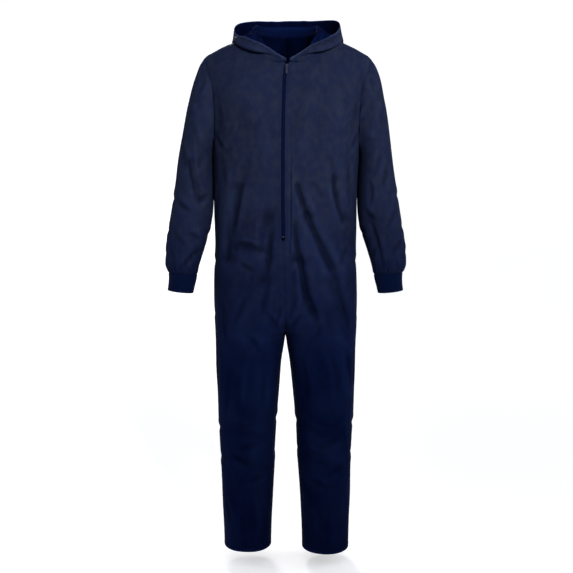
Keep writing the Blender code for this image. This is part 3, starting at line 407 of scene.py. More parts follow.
# Points nearer to the body than the clearance go out along its slope, where it lies beneath them.
def outsideBody(points):
    moved = points.copy()
    small = 1e-4
    for _ in range(hood["pushes"]):
        here = offBody(*moved.T)
        nearby = [offBody(*(moved + step).T) for step in np.eye(3) * small]
        slope = (np.stack(nearby, axis=1) - here[:, None]) / small
        steep = np.linalg.norm(slope, axis=1)
        x = np.abs(moved[:, 0]) / body["neckHalf"]
        down = np.maximum(-moved[:, 2], 0) / np.where(moved[:, 1] < 0, body["neckDrop"], 0.01)
        reach = (x ** body["neckPower"] + down ** body["neckPower"]) ** (1 / body["neckPower"])
        beyondNeck = np.clip((reach - hood["pushFrom"]) / hood["pushOver"], 0, 1)
        push = np.clip(hood["clearance"] * beyondNeck - here / steep, 0, hood["longestPush"])
        moved = moved + slope / steep[:, None] * push[:, None]
    return moved


# A cubic through a few controls, its knots spaced by the root of the distance between them.
def curveThrough(controls):
    controls = np.array(controls)
    steps = np.linalg.norm(np.diff(controls, axis=0), axis=1) ** 0.5
    along = np.concatenate(([0], np.cumsum(np.maximum(steps, 1e-4))))
    tangent = np.gradient(controls, along, axis=0)
    at = np.linspace(0, along[-1], pathSamples)
    k = np.clip(np.searchsorted(along, at) - 1, 0, len(along) - 2)
    step = (along[k + 1] - along[k])[:, None]
    t = ((at - along[k])[:, None]) / step
    points = cubicPiece(controls[k], controls[k + 1], tangent[k], tangent[k + 1], step, t)
    return evenRows(points[None], np.linspace(0, 1, hood["ribPoints"]))[0]


# One rib, from the neck seam over the roll and the bag to the opening edge, with its folds spread out.
def hoodRib(start, angle, side):
    roll, bag, swell, edge = (
        np.array([float(look(hood[name], axis, angle)) for axis in "xyz"])
        for name in ("roll", "bag", "swell", "edge")
    )
    edge[2] += side * hood["tipTilt"] * max(0, 1 - abs(angle - hood["tipAngle"]) / hood["tipReach"])
    spread = float(look(hood["spread"], "spread", angle))
    if spread < hood["leastSpread"]:
        return curveThrough([start, roll, bag, swell, edge])
    outwards = unit((bag - roll) * (1, 1, 0)) * spread
    up = np.array((0, 0, spread))
    atRoll = [roll + outwards * away - up * down for away, down in hood["rollFold"]]
    atBag = [bag + outwards * away for away in hood["bagFold"]]
    return curveThrough([start, *atRoll, *atBag, swell, edge])


# Each point drawn towards its neighbours along its row and down its column; seam and centre stay.
def relaxed(grid):
    moved = grid.copy()
    across = np.empty_like(grid)
    across[:, 1:-1] = (grid[:, :-2] + grid[:, 2:]) / 2
    across[:, 0] = grid[:, 0]
    across[:, -1] = grid[:, -2] * (0, 1, 1)
    down = (grid[:-2] + grid[2:]) / 2
    moved[1:-1, 1:] = grid[1:-1, 1:] * hood["stay"] + across[1:-1, 1:] * hood["beside"]
    moved[1:-1, 1:] += down[:, 1:] * hood["above"]
    moved[-1, 1:] = (grid[-1, 1:] + across[-1, 1:]) / 2
    return moved


def halved(values):
    both = np.empty((2 * len(values) - 1,) + values.shape[1:])
    both[::2] = values
    both[1::2] = (values[1:] + values[:-1]) / 2
    return both


# Rows taken at fractional indices by a Catmull-Rom cubic, whose slope is half the step over a point.
def cubicRows(values, at):
    padded = np.concatenate((2 * values[:1] - values[1:2], values, 2 * values[-1:] - values[-2:-1]))
    k = np.clip(np.floor(at).astype(int), 0, len(values) - 2)
    t = (at - k).reshape((-1,) + (1,) * (values.ndim - 1))
    a, b, c, d = (padded[k + step] for step in range(4))
    return b + 0.5 * t * (c - a + t * (2 * a - 5 * b + 4 * c - d + t * (3 * (b - c) + d - a)))


def hoodGrid(side):
    front, frontAngle = neckline(side, "front", hood["coarseNeck"])
    back, backAngle = neckline(side, "back", hood["coarseNeck"])
    starts = halved(np.concatenate((front[::-1], back[1:])))
    angles = halved(np.concatenate((frontAngle[::-1], backAngle[1:])))
    ribs = np.array([hoodRib(p, float(a), side) for p, a in zip(starts, angles)])
    ribs[-1, :, 0] = 0
    grid = ribs.transpose(1, 0, 2)
    for _ in range(hood["smoothings"]):
        grid = relaxed(grid)
        grid[1:] = outsideBody(grid[1:].reshape(-1, 3)).reshape(grid[1:].shape)
    grid[:, -1, 0] = 0
    rowAt = (hood["ribPoints"] - 1) * crowded(hood["rows"], hood["denser"])
    columnAt = np.linspace(0, len(starts) - 1, 2 * body["neckRows"] + 1)
    fine = cubicRows(cubicRows(grid, rowAt).transpose(1, 0, 2), columnAt).transpose(1, 0, 2)
    exactFront, _ = neckline(side, "front", body["neckRows"] + 1)
    exactBack, _ = neckline(side, "back", body["neckRows"] + 1)
    exact = np.concatenate((exactFront[::-1], exactBack[1:]))
    fade = np.maximum(0, 1 - rowAt / hood["seamFades"]) ** 2
    fine = fine + (exact - fine[0]) * fade[:, None, None]
    fine[1:, -1, 0] = 0
    fine[..., 0] *= side
    return fine


# The creases: seen from the front or back by x and z, seen from a side by y and z near one x.
# A negative height is a trough. The largest ones are pressed into the solids too.

largeFolds = table("facing x0 z0 x1 z1 width height", (
    (-1, 0.036, -0.440, 0.068, -0.525, 0.012, -0.0060),
    (-1, 0.068, -0.525, 0.134, -0.668, 0.016, -0.0085),
    (-1, 0.022, -0.550, 0.046, -0.655, 0.016, -0.0080),
    (-1, 0.046, -0.655, 0.078, -0.790, 0.021, -0.0085),
    (-1, 0.030, -0.665, 0.042, -0.760, 0.010, 0.0050),
    (-1, 0.142, -0.421, 0.170, -0.530, 0.016, -0.0065),
    (-1, 0.140, -0.705, 0.184, -0.870, 0.020, -0.0060),
    (-1, 0.163, -0.940, 0.186, -1.046, 0.016, 0.0035),
    (-1, -0.040, -0.530, -0.056, -0.700, 0.024, -0.0080),
    (-1, -0.145, -0.613, -0.066, -0.620, 0.012, -0.0030),
    (-1, -0.138, -0.446, -0.166, -0.640, 0.022, -0.0075),
    (-1, -0.161, -1.156, -0.073, -1.180, 0.018, -0.0026),
    (-1, 0.064, -1.238, 0.165, -1.284, 0.018, -0.0024),
    (-1, -0.153, -1.241, -0.060, -1.278, 0.016, -0.0022),
    (-1, 0.055, -1.150, 0.155, -1.180, 0.016, -0.0022),
    (-1, -0.264, -0.215, -0.246, -0.300, 0.012, 0.0030),
    (-1, -0.275, -0.370, -0.250, -0.470, 0.014, -0.0045),
    (-1, -0.253, -0.627, -0.300, -0.677, 0.014, -0.0040),
    (-1, 0.262, -0.210, 0.246, -0.290, 0.012, 0.0030),
    (-1, 0.245, -0.530, 0.278, -0.665, 0.016, -0.0045),
    (1, -0.050, -0.420, -0.125, -0.640, 0.020, -0.0055),
    (1, 0.060, -0.440, 0.140, -0.660, 0.020, -0.0060),
    (1, -0.030, -0.760, -0.095, -0.930, 0.018, -0.0055),
    (1, 0.035, -0.770, 0.110, -0.930, 0.018, -0.0050),
    (1, -0.165, -0.330, -0.110, -0.250, 0.018, -0.0040),
    (1, 0.165, -0.335, 0.120, -0.265, 0.018, -0.0040),
    (1, -0.160, -1.150, -0.060, -1.190, 0.018, -0.0040),
    (1, 0.060, -1.170, 0.160, -1.205, 0.018, -0.0040),
    (1, -0.285, -0.500, -0.250, -0.560, 0.014, -0.0040),
    (1, 0.290, -0.490, 0.252, -0.545, 0.014, -0.0040),
))

# Finer creases in front: the start, the end, how far the middle bows sideways, width and height
frontCreases = table("x0 z0 x1 z1 bow width height", (
    (0.0155, -0.300, 0.0165, -0.735, 0.0000, 0.0030, -0.0018),
    (0.030, -0.425, 0.100, -0.605, -0.0060, 0.0070, -0.0040),
    (0.076, -0.535, 0.148, -0.710, -0.0050, 0.0085, -0.0034),
    (0.018, -0.530, 0.056, -0.710, -0.0060, 0.0085, -0.0040),
    (0.040, -0.620, 0.082, -0.830, -0.0060, 0.0100, -0.0036),
    (0.028, -0.630, 0.040, -0.790, 0.0030, 0.0070, 0.0026),
    (0.020, -0.600, 0.026, -0.735, 0.0020, 0.0055, -0.0026),
    (0.110, -0.600, 0.160, -0.740, 0.0060, 0.0080, -0.0022),
    (0.062, -0.420, 0.104, -0.455, 0.0030, 0.0065, -0.0010),
    (0.060, -0.735, 0.098, -0.860, 0.0050, 0.0080, -0.0022),
    (0.138, -0.400, 0.166, -0.530, -0.0060, 0.0070, -0.0042),
    (0.120, -0.345, 0.150, -0.440, 0.0040, 0.0080, -0.0014),
    (0.176, -0.350, 0.188, -0.520, 0.0030, 0.0070, -0.0016),
    (0.186, -0.600, 0.150, -0.700, -0.0040, 0.0080, -0.0016),
    (0.086, -0.450, 0.120, -0.476, 0.0020, 0.0080, -0.0008),
    (0.030, -0.760, 0.010, -0.830, -0.0030, 0.0070, -0.0018),
    (0.052, -0.800, 0.014, -0.862, -0.0050, 0.0065, -0.0020),
    (0.150, -0.720, 0.190, -0.860, 0.0060, 0.0080, -0.0022),
    (0.110, -0.830, 0.060, -0.905, 0.0040, 0.0080, -0.0014),
    (0.120, -0.920, 0.140, -1.080, 0.0050, 0.0090, 0.0016),
    (0.176, -0.900, 0.192, -1.060, 0.0030, 0.0075, -0.0018),
    (0.050, -0.930, 0.062, -1.080, 0.0030, 0.0090, -0.0014),
    (0.060, -1.130, 0.150, -1.150, 0.0060, 0.0070, -0.0010),
    (0.168, -1.170, 0.090, -1.212, 0.0050, 0.0075, -0.0011),
    (0.050, -1.205, 0.110, -1.232, -0.0040, 0.0065, -0.0009),
    (0.176, -1.262, 0.110, -1.300, 0.0050, 0.0070, -0.0010),
    (0.064, -1.310, 0.130, -1.338, 0.0040, 0.0080, -0.0013),
    (0.172, -1.350, 0.186, -1.480, 0.0030, 0.0080, -0.0014),
    (0.080, -1.370, 0.090, -1.500, 0.0030, 0.0100, 0.0013),
    (0.126, -1.400, 0.130, -1.540, -0.0030, 0.0100, -0.0013),
    (-0.024, -0.535, -0.052, -0.700, -0.0060, 0.0090, -0.0042),
    (-0.060, -0.500, -0.078, -0.640, 0.0040, 0.0090, -0.0015),
    (-0.040, -0.700, -0.066, -0.820, -0.0050, 0.0090, -0.0018),
    (-0.150, -0.600, -0.070, -0.620, 0.0050, 0.0070, -0.0022),
    (-0.136, -0.650, -0.086, -0.676, -0.0040, 0.0065, -0.0014),
    (-0.120, -0.420, -0.156, -0.590, -0.0070, 0.0090, -0.0040),
    (-0.168, -0.500, -0.176, -0.680, 0.0040, 0.0080, -0.0018),
    (-0.184, -0.345, -0.176, -0.470, 0.0030, 0.0075, -0.0015),
    (-0.105, -0.360, -0.122, -0.450, -0.0030, 0.0090, -0.0012),
    (-0.016, -0.730, 0.001, -0.752, 0.0000, 0.0040, 0.0012),
    (-0.010, -0.770, -0.030, -0.850, 0.0030, 0.0060, -0.0018),
    (-0.056, -0.800, -0.016, -0.860, 0.0050, 0.0065, -0.0018),
    (-0.100, -0.740, -0.150, -0.850, -0.0050, 0.0090, -0.0018),
    (-0.120, -0.860, -0.070, -0.920, 0.0040, 0.0080, -0.0013),
    (-0.186, -0.760, -0.180, -0.900, 0.0040, 0.0080, -0.0016),
    (-0.110, -0.940, -0.124, -1.090, -0.0050, 0.0090, 0.0014),
    (-0.170, -0.960, -0.180, -1.120, 0.0040, 0.0080, -0.0017),
    (-0.058, -0.960, -0.066, -1.110, -0.0030, 0.0085, -0.0015),
    (-0.166, -1.128, -0.096, -1.146, -0.0050, 0.0070, -0.0010),
    (-0.076, -1.190, -0.150, -1.214, 0.0050, 0.0070, -0.0012),
    (-0.165, -1.228, -0.100, -1.262, -0.0040, 0.0065, -0.0010),
    (-0.060, -1.290, -0.120, -1.316, 0.0040, 0.0080, -0.0014),
    (-0.182, -1.385, -0.168, -1.460, 0.0020, 0.0070, -0.0020),
    (-0.090, -1.360, -0.084, -1.500, 0.0040, 0.0100, 0.0013),
    (-0.132, -1.400, -0.126, -1.530, -0.0030, 0.0090, -0.0013),
    (-0.200, -0.170, -0.184, -0.290, -0.0040, 0.0080, -0.0012),
    (0.200, -0.180, 0.186, -0.300, 0.0040, 0.0080, -0.0012),
    (-0.206, -0.285, -0.170, -0.345, -0.0040, 0.0065, -0.0016),
    (0.206, -0.285, 0.172, -0.350, 0.0040, 0.0065, -0.0016),
    # sleeves
    (-0.262, -0.285, -0.250, -0.425, -0.0040, 0.0060, 0.0016),
    (-0.282, -0.355, -0.256, -0.470, -0.0050, 0.0060, -0.0022),
    (-0.236, -0.330, -0.262, -0.400, 0.0040, 0.0065, -0.0018),
    (-0.300, -0.300, -0.286, -0.400, -0.0040, 0.0070, -0.0014),
    (-0.226, -0.455, -0.262, -0.492, 0.0040, 0.0060, -0.0020),
    (-0.318, -0.470, -0.270, -0.512, -0.0050, 0.0065, -0.0018),
    (-0.284, -0.572, -0.246, -0.596, 0.0040, 0.0060, -0.0020),
    (-0.326, -0.560, -0.286, -0.610, -0.0040, 0.0070, -0.0014),
    (-0.252, -0.622, -0.304, -0.680, -0.0030, 0.0060, -0.0022),
    (-0.334, -0.610, -0.322, -0.684, 0.0030, 0.0060, -0.0014),
    (-0.280, -0.640, -0.270, -0.688, -0.0020, 0.0050, 0.0014),
    (-0.238, -0.120, -0.262, -0.190, 0.0040, 0.0070, -0.0014),
    (0.228, -0.200, 0.206, -0.266, -0.0030, 0.0060, 0.0014),
    (0.243, -0.415, 0.246, -0.500, 0.0040, 0.0065, -0.0022),
    (0.270, -0.330, 0.252, -0.420, 0.0050, 0.0070, -0.0018),
    (0.300, -0.360, 0.284, -0.460, -0.0040, 0.0070, -0.0016),
    (0.230, -0.500, 0.262, -0.540, -0.0040, 0.0060, -0.0018),
    (0.236, -0.520, 0.280, -0.672, 0.0050, 0.0070, -0.0024),
    (0.322, -0.500, 0.290, -0.560, 0.0040, 0.0070, -0.0016),
    (0.336, -0.580, 0.306, -0.640, 0.0040, 0.0065, -0.0016),
    (0.262, -0.610, 0.250, -0.660, -0.0020, 0.0050, -0.0014),
    (0.318, -0.640, 0.326, -0.688, 0.0020, 0.0050, -0.0014),
    (0.238, -0.120, 0.258, -0.185, -0.0040, 0.0070, -0.0014),
))

backCreases = table("x0 z0 x1 z1 bow width height", (
    (-0.206, -0.290, -0.140, -0.250, 0.0060, 0.0070, -0.0022),
    (0.206, -0.300, 0.150, -0.262, -0.0060, 0.0070, -0.0020),
    (-0.200, -0.330, -0.120, -0.345, -0.0050, 0.0080, -0.0018),
    (0.202, -0.335, 0.130, -0.360, 0.0050, 0.0080, -0.0018),
    (-0.020, -0.300, -0.034, -0.460, 0.0050, 0.0090, -0.0016),
    (0.030, -0.330, 0.052, -0.480, -0.0050, 0.0090, -0.0018),
    (-0.060, -0.430, -0.118, -0.600, 0.0060, 0.0080, -0.0026),
    (0.070, -0.450, 0.132, -0.640, -0.0060, 0.0080, -0.0028),
    (0.020, -0.520, 0.070, -0.640, 0.0050, 0.0075, -0.0018),
    (-0.016, -0.500, -0.060, -0.660, -0.0050, 0.0075, -0.0020),
    (-0.140, -0.520, -0.070, -0.552, 0.0050, 0.0065, -0.0016),
    (0.150, -0.560, 0.086, -0.590, -0.0040, 0.0065, -0.0014),
    (-0.186, -0.420, -0.170, -0.600, -0.0040, 0.0080, -0.0018),
    (0.186, -0.410, 0.172, -0.590, 0.0040, 0.0080, -0.0018),
    (-0.012, -0.780, -0.080, -0.900, -0.0060, 0.0075, -0.0026),
    (0.012, -0.790, 0.090, -0.905, 0.0060, 0.0075, -0.0026),
    (-0.020, -0.830, -0.120, -0.885, -0.0050, 0.0065, -0.0018),
    (0.022, -0.840, 0.126, -0.900, 0.0050, 0.0065, -0.0018),
    (-0.150, -0.720, -0.176, -0.860, 0.0050, 0.0085, -0.0018),
    (0.152, -0.710, 0.178, -0.850, -0.0050, 0.0085, -0.0018),
    (-0.070, -0.930, -0.090, -1.090, 0.0040, 0.0095, -0.0016),
    (0.076, -0.940, 0.092, -1.100, -0.0040, 0.0095, -0.0016),
    (-0.130, -0.960, -0.140, -1.100, -0.0040, 0.0095, 0.0014),
    (0.138, -0.950, 0.148, -1.090, 0.0040, 0.0095, 0.0014),
    (-0.050, -1.130, -0.130, -1.160, 0.0050, 0.0070, -0.0022),
    (0.048, -1.140, 0.136, -1.172, -0.0050, 0.0070, -0.0022),
    (-0.170, -1.180, -0.080, -1.208, -0.0050, 0.0065, -0.0018),
    (0.174, -1.190, 0.080, -1.224, 0.0050, 0.0065, -0.0018),
    (-0.060, -1.225, -0.140, -1.250, 0.0040, 0.0070, -0.0014),
    (0.060, -1.240, 0.150, -1.262, -0.0040, 0.0070, -0.0014),
    (-0.090, -1.320, -0.086, -1.480, 0.0040, 0.0100, 0.0013),
    (0.092, -1.310, 0.090, -1.470, -0.0040, 0.0100, 0.0013),
    (-0.140, -1.340, -0.134, -1.520, -0.0030, 0.0095, -0.0014),
    (0.146, -1.350, 0.138, -1.520, 0.0030, 0.0095, -0.0014),
    # sleeves
    (-0.236, -0.240, -0.262, -0.330, 0.0040, 0.0070, -0.0018),
    (0.236, -0.250, 0.262, -0.340, -0.0040, 0.0070, -0.0018),
    (-0.300, -0.330, -0.280, -0.430, -0.0040, 0.0075, -0.0016),
    (0.302, -0.320, 0.282, -0.425, 0.0040, 0.0075, -0.0016),
    (-0.296, -0.470, -0.240, -0.500, 0.0050, 0.0065, -0.0022),
    (0.298, -0.462, 0.242, -0.492, -0.0050, 0.0065, -0.0022),
    (-0.310, -0.530, -0.246, -0.556, -0.0050, 0.0060, -0.0018),
    (0.312, -0.525, 0.248, -0.552, 0.0050, 0.0060, -0.0018),
    (-0.330, -0.590, -0.290, -0.650, 0.0040, 0.0065, -0.0016),
    (0.330, -0.585, 0.292, -0.646, -0.0040, 0.0065, -0.0016),
    (-0.272, -0.610, -0.282, -0.686, 0.0030, 0.0055, -0.0016),
    (0.274, -0.612, 0.284, -0.686, -0.0030, 0.0055, -0.0016),
))

# At the sides: which way the cloth faces there, near which x, then y and z of both ends
sideCreases = table("facing atX y0 z0 y1 z1 bow width height", (
    (1, 0.21, -0.070, -0.420, -0.040, -0.560, 0.006, 0.009, -0.0012),
    (1, 0.21, 0.060, -0.400, 0.040, -0.540, -0.006, 0.009, -0.0012),
    (1, 0.21, -0.060, -0.640, 0.050, -0.700, 0.006, 0.009, -0.0018),
    (1, 0.21, 0.070, -0.740, -0.030, -0.830, 0.008, 0.010, -0.0020),
    (1, 0.21, -0.050, -0.900, -0.040, -1.080, 0.006, 0.010, -0.0018),
    (1, 0.21, -0.060, -1.140, 0.060, -1.180, 0.006, 0.008, -0.0020),
    (1, 0.21, 0.060, -1.215, -0.060, -1.260, 0.006, 0.008, -0.0018),
    (1, 0.21, 0.020, -1.320, 0.026, -1.500, 0.004, 0.010, -0.0016),
    (-1, -0.21, -0.070, -0.430, -0.040, -0.580, 0.006, 0.009, -0.0012),
    (-1, -0.21, 0.060, -0.410, 0.040, -0.550, -0.006, 0.009, -0.0012),
    (-1, -0.21, -0.060, -0.650, 0.050, -0.690, 0.006, 0.009, -0.0018),
    (-1, -0.21, 0.060, -0.760, -0.040, -0.840, 0.008, 0.010, -0.0020),
    (-1, -0.21, -0.046, -0.910, -0.036, -1.080, 0.006, 0.010, -0.0018),
    (-1, -0.21, -0.060, -1.160, 0.060, -1.190, 0.006, 0.008, -0.0020),
    (-1, -0.21, 0.060, -1.230, -0.060, -1.270, 0.006, 0.008, -0.0018),
    (-1, -0.21, 0.010, -1.330, 0.016, -1.500, 0.004, 0.010, -0.0016),
    (-1, 0.03, -0.050, -1.140, 0.050, -1.165, 0.005, 0.009, -0.0018),
    (1, -0.03, -0.050, -1.130, 0.050, -1.160, 0.005, 0.009, -0.0018),
    (-1, 0.03, 0.040, -1.210, -0.040, -1.245, 0.005, 0.009, -0.0016),
    (1, -0.03, 0.040, -1.220, -0.040, -1.250, 0.005, 0.009, -0.0016),
    (1, 0.30, -0.040, -0.180, -0.010, -0.300, 0.005, 0.009, -0.0016),
    (1, 0.32, 0.040, -0.330, 0.000, -0.440, 0.006, 0.009, -0.0018),
    (1, 0.33, -0.055, -0.450, 0.030, -0.500, 0.006, 0.008, -0.0020),
    (1, 0.34, 0.030, -0.520, -0.060, -0.570, 0.006, 0.008, -0.0018),
    (1, 0.35, -0.070, -0.600, -0.020, -0.660, 0.005, 0.007, -0.0016),
    (-1, -0.30, -0.036, -0.190, -0.010, -0.310, 0.005, 0.009, -0.0016),
    (-1, -0.32, 0.040, -0.340, 0.000, -0.450, 0.006, 0.009, -0.0018),
    (-1, -0.33, -0.055, -0.460, 0.030, -0.505, 0.006, 0.008, -0.0020),
    (-1, -0.34, 0.030, -0.530, -0.060, -0.580, 0.006, 0.008, -0.0018),
    (-1, -0.35, -0.070, -0.606, -0.020, -0.664, 0.005, 0.007, -0.0016),
    (-1, 0.22, 0.000, -0.330, 0.000, -0.560, 0.000, 0.040, 0.0022),
    (-1, 0.24, -0.060, -0.560, 0.010, -0.590, 0.005, 0.007, -0.0016),
    (1, -0.22, 0.000, -0.330, 0.000, -0.560, 0.000, 0.040, 0.0022),
    (1, -0.24, -0.060, -0.566, 0.010, -0.596, 0.005, 0.007, -0.0016),
))

# Creases in the lying hood, seen from above by x and y
hoodCreases = table("x0 y0 x1 y1 bow width height", (
    (-0.150, 0.060, -0.090, 0.090, 0.004, 0.008, -0.0022),
    (0.150, 0.060, 0.092, 0.092, -0.004, 0.008, -0.0022),
    (-0.110, -0.070, -0.120, 0.010, 0.006, 0.007, -0.0018),
    (0.112, -0.066, 0.122, 0.012, -0.006, 0.007, -0.0018),
    (-0.060, 0.150, -0.030, 0.110, 0.004, 0.008, -0.0016),
    (0.066, 0.148, 0.036, 0.112, -0.004, 0.008, -0.0016),
    (-0.140, 0.110, -0.070, 0.140, -0.005, 0.009, -0.0020),
    (0.140, 0.112, 0.074, 0.140, 0.005, 0.009, -0.0020),
))


# 0 along the stiff edges of the zip and 1 well away from it.
def offPlacket(points):
    beside = np.abs(points[..., 0] - look(zipLine, "x", points[..., 2]))
    below = (body["zipEndZ"] - points[..., 2]) / (2 * body["placketFade"])
    away = np.clip(np.maximum((beside - body["placket"]) / body["placketFade"], below), 0, 1)
    return away * away * (3 - 2 * away)


crease = {
    "facing": (2.5, 0.5),  # it shows fully where 2.5 times the cloth's facing, less 0.5, is 1
    "depth": 1.55, "width": 0.6, "wider": 0.5,  # width at its ends, and what the middle adds
    "swell": 0.40, "swellAt": 1.9, "swellWidth": 1.4,  # beside the trough, in its own widths
    "reach": 4, "besideX": 0.05,  # widths that it reaches, and metres from its own x
    "placketGroove": 0,  # the row of the front table that the stiff placket doesn't hold back
}


def facing(normal, way):
    steep, less = crease["facing"]
    return np.clip(normal * way * steep - less, 0, 1)


# The large folds: a bell across each line, exp(-(distance / width)^2), rounded off at its ends.
def foldHeight(points, normals):
    height = np.zeros(points.shape[:2])
    placket = offPlacket(points)
    for way, x0, z0, x1, z1, width, deep in zip(*largeFolds.values()):
        run = np.array((x1, z1)) - np.array((x0, z0))
        seen = points[..., (0, 2)] - np.array((x0, z0))
        share = np.clip(seen @ run / (run @ run), 0, 1)
        away = np.linalg.norm(seen - share[..., None] * run, axis=-1)
        faces = facing(normals[..., 1], way) * (placket if way < 0 else 1)
        height += deep * bell(away / width) * faces
    return height


# One crease on a bowed line: a bell across it with a softer counter-swell beside it, nil at both ends.
def creaseAcross(seen, start, end, bow, width, height):
    run = end - start
    long = np.linalg.norm(run)
    along = (seen - start) @ run / long
    share = np.clip(along / long, 0, 1)
    beside = ((seen - start) @ np.array((-run[1], run[0]))) / long - 4 * bow * share * (1 - share)
    past = along - share * long
    taper = np.sin(np.pi * np.clip(share, 0.02, 0.98))
    q = np.sqrt(beside**2 + past**2) / (width * (crease["width"] + crease["wider"] * taper))
    q = q * np.where(beside < 0, -1, 1)
    swell = crease["swell"] * bell((q - crease["swellAt"]) / crease["swellWidth"])
    return crease["depth"] * height * taper * (bell(q) - swell)


# A table of creases summed over a piece, each only where its own box of points lies. Its ends are in
# the columns named with 0 and 1, and shown(row, near) is how far it shows at the points near it.
def creaseSum(seen, rows, shown):
    height = np.zeros(len(seen))
    a0, b0, a1, b1 = (rows[name] for name in rows if name[-1] in "01")
    for k, (bow, width, deep) in enumerate(zip(rows["bow"], rows["width"], rows["height"])):
        start = np.array((a0[k], b0[k]))
        end = np.array((a1[k], b1[k]))
        room = crease["reach"] * width + abs(bow)
        near = (seen > np.minimum(start, end) - room).all(1) & (seen < np.maximum(start, end) + room).all(1)
        if near.any():
            height[near] += creaseAcross(seen[near], start, end, bow, width, deep) * shown(k, near)
    return height


def fineHeight(points, normals):
    flat = points.reshape(-1, 3)
    way = normals.reshape(-1, 3)
    placket = offPlacket(flat)

    def inFront(k, near):
        return facing(way[near, 1], -1) * (1 if k == crease["placketGroove"] else placket[near])

    def behind(k, near):
        return facing(way[near, 1], 1)

    def atSide(k, near):
        close = np.abs(flat[near, 0] - sideCreases["atX"][k]) < crease["besideX"]
        return facing(way[near, 0], sideCreases["facing"][k]) * close

    height = creaseSum(flat[:, (0, 2)], frontCreases, inFront)
    height += creaseSum(flat[:, (0, 2)], backCreases, behind)
    height += creaseSum(flat[:, (1, 2)], sideCreases, atSide)
    return height.reshape(points.shape[:2])


# The hood's creases show where its cloth lies about level.
def hoodHeight(points, normals):
    level = np.clip(np.abs(normals.reshape(-1, 3)[:, 2]) * 2 - 0.2, 0, 1)
    height = creaseSum(points.reshape(-1, 3)[:, (0, 1)], hoodCreases, lambda k, near: level[near])
    return height.reshape(points.shape[:2])


undulation = {
    "waves": 16, "shortest": 0.060, "longest": 0.260, "upAndDown": 0.4, "seed": 11,
    "height": 0.0011, "mean": 2.2, "tallerByLength": 0.7,
}
waveDice = np.random.default_rng(undulation["seed"])
waveEnds = np.log(undulation["shortest"]), np.log(undulation["longest"])
waveLong = np.exp(waveDice.uniform(*waveEnds, undulation["waves"]))
waveWay = unit(waveDice.normal(size=(undulation["waves"], 3)) * (1, 1, undulation["upAndDown"]))
waveTurn = waveWay * (2 * np.pi / waveLong)[:, None]
wavePhase = waveDice.uniform(0, 2 * np.pi, undulation["waves"])


# Slow waves through space, so they run on over the seams: a mean of sines, taller where longer.
def waveHeight(points):
    tall = (waveLong / undulation["longest"]) ** undulation["tallerByLength"]
    waves = np.sin(points @ waveTurn.T + wavePhase) * tall
    return waves.sum(axis=-1) * undulation["height"] / undulation["mean"]


print("tables and formulas ready")


# Cloth pieces: a grid and which way its outer side lies, then seams, creases and a wall

def newSheet(name, grid, wraps, flips, cloth):
    return {"name": name, "points": grid, "wraps": wraps, "flips": flips, "cloth": cloth}


# The normal is the cross product of the grid's differences down its rows and along them.
def gridNormals(points, wraps, flips):
    down = np.gradient(points, axis=0)
    along = (np.roll(points, -1, 1) - np.roll(points, 1, 1)) / 2 if wraps else np.gradient(points, axis=1)
    normal = unit(np.cross(down, along))
    return -normal if flips else normal


def rimIndex(sheet):
    rows, columns = sheet["points"].shape[:2]
    index = np.arange(rows * columns).reshape(rows, columns)
    rims = [index[0], index[-1]]
    if not sheet["wraps"]:
        rims += [index[1:-1, 0], index[1:-1, -1]]
    return np.concatenate(rims)


# Pieces that meet at a seam share one way out there, their normals' mean, unless the seam lies in too
# tight a crease for that; out is then long enough for a wall of even thickness. Points of the rims within
# a twentieth of a millimetre are one place. The hood may share with the hood alone.
def shareSeams(sheets, sharpest=0.45):
    for sheet in sheets:
        sheet["normal"] = gridNormals(sheet["points"], sheet["wraps"], sheet["flips"])
        sheet["out"] = sheet["normal"].copy()
    rims = [(sheet, rimIndex(sheet)) for sheet in sheets]
    places = np.concatenate([sheet["points"].reshape(-1, 3)[rim] for sheet, rim in rims])
    normals = np.concatenate([sheet["normal"].reshape(-1, 3)[rim] for sheet, rim in rims])
    family = np.concatenate([np.full(len(rim), sheet["name"].startswith("hood")) for sheet, rim in rims])
    keys = np.round(places * 2e4).astype(int)
    shared = np.full(normals.shape, np.nan)
    for together in (keys, np.column_stack((keys, family + 1))):
        _, group = np.unique(together, axis=0, return_inverse=True)
        group = group.ravel()
        total = np.zeros((group.max() + 1, 3))
        np.add.at(total, group, normals)
        mean = unit(total)[group]
        least = np.ones(len(total))
        np.minimum.at(least, group, (normals * mean).sum(axis=1))
        even = mean / np.maximum(least[group], sharpest)[:, None]
        unset = np.isnan(shared) & (least[group] > sharpest)[:, None]
        shared = np.where(unset, even, shared)
    shared = np.where(np.isnan(shared), normals, shared)
    at = 0
    for sheet, rim in rims:
        sheet["out"].reshape(-1, 3)[rim] = shared[at : at + len(rim)]
        at += len(rim)


# Distances in metres from each edge, summed down the columns and along the rows.
def edgeDistances(points, wraps):
    down = summed(points)
    far = {"top": down, "bottom": down[-1:] - down}
    if not wraps:
        across = summed(points, 1)
        far |= {"inner": across, "outer": across[:, -1:] - across}
    return far


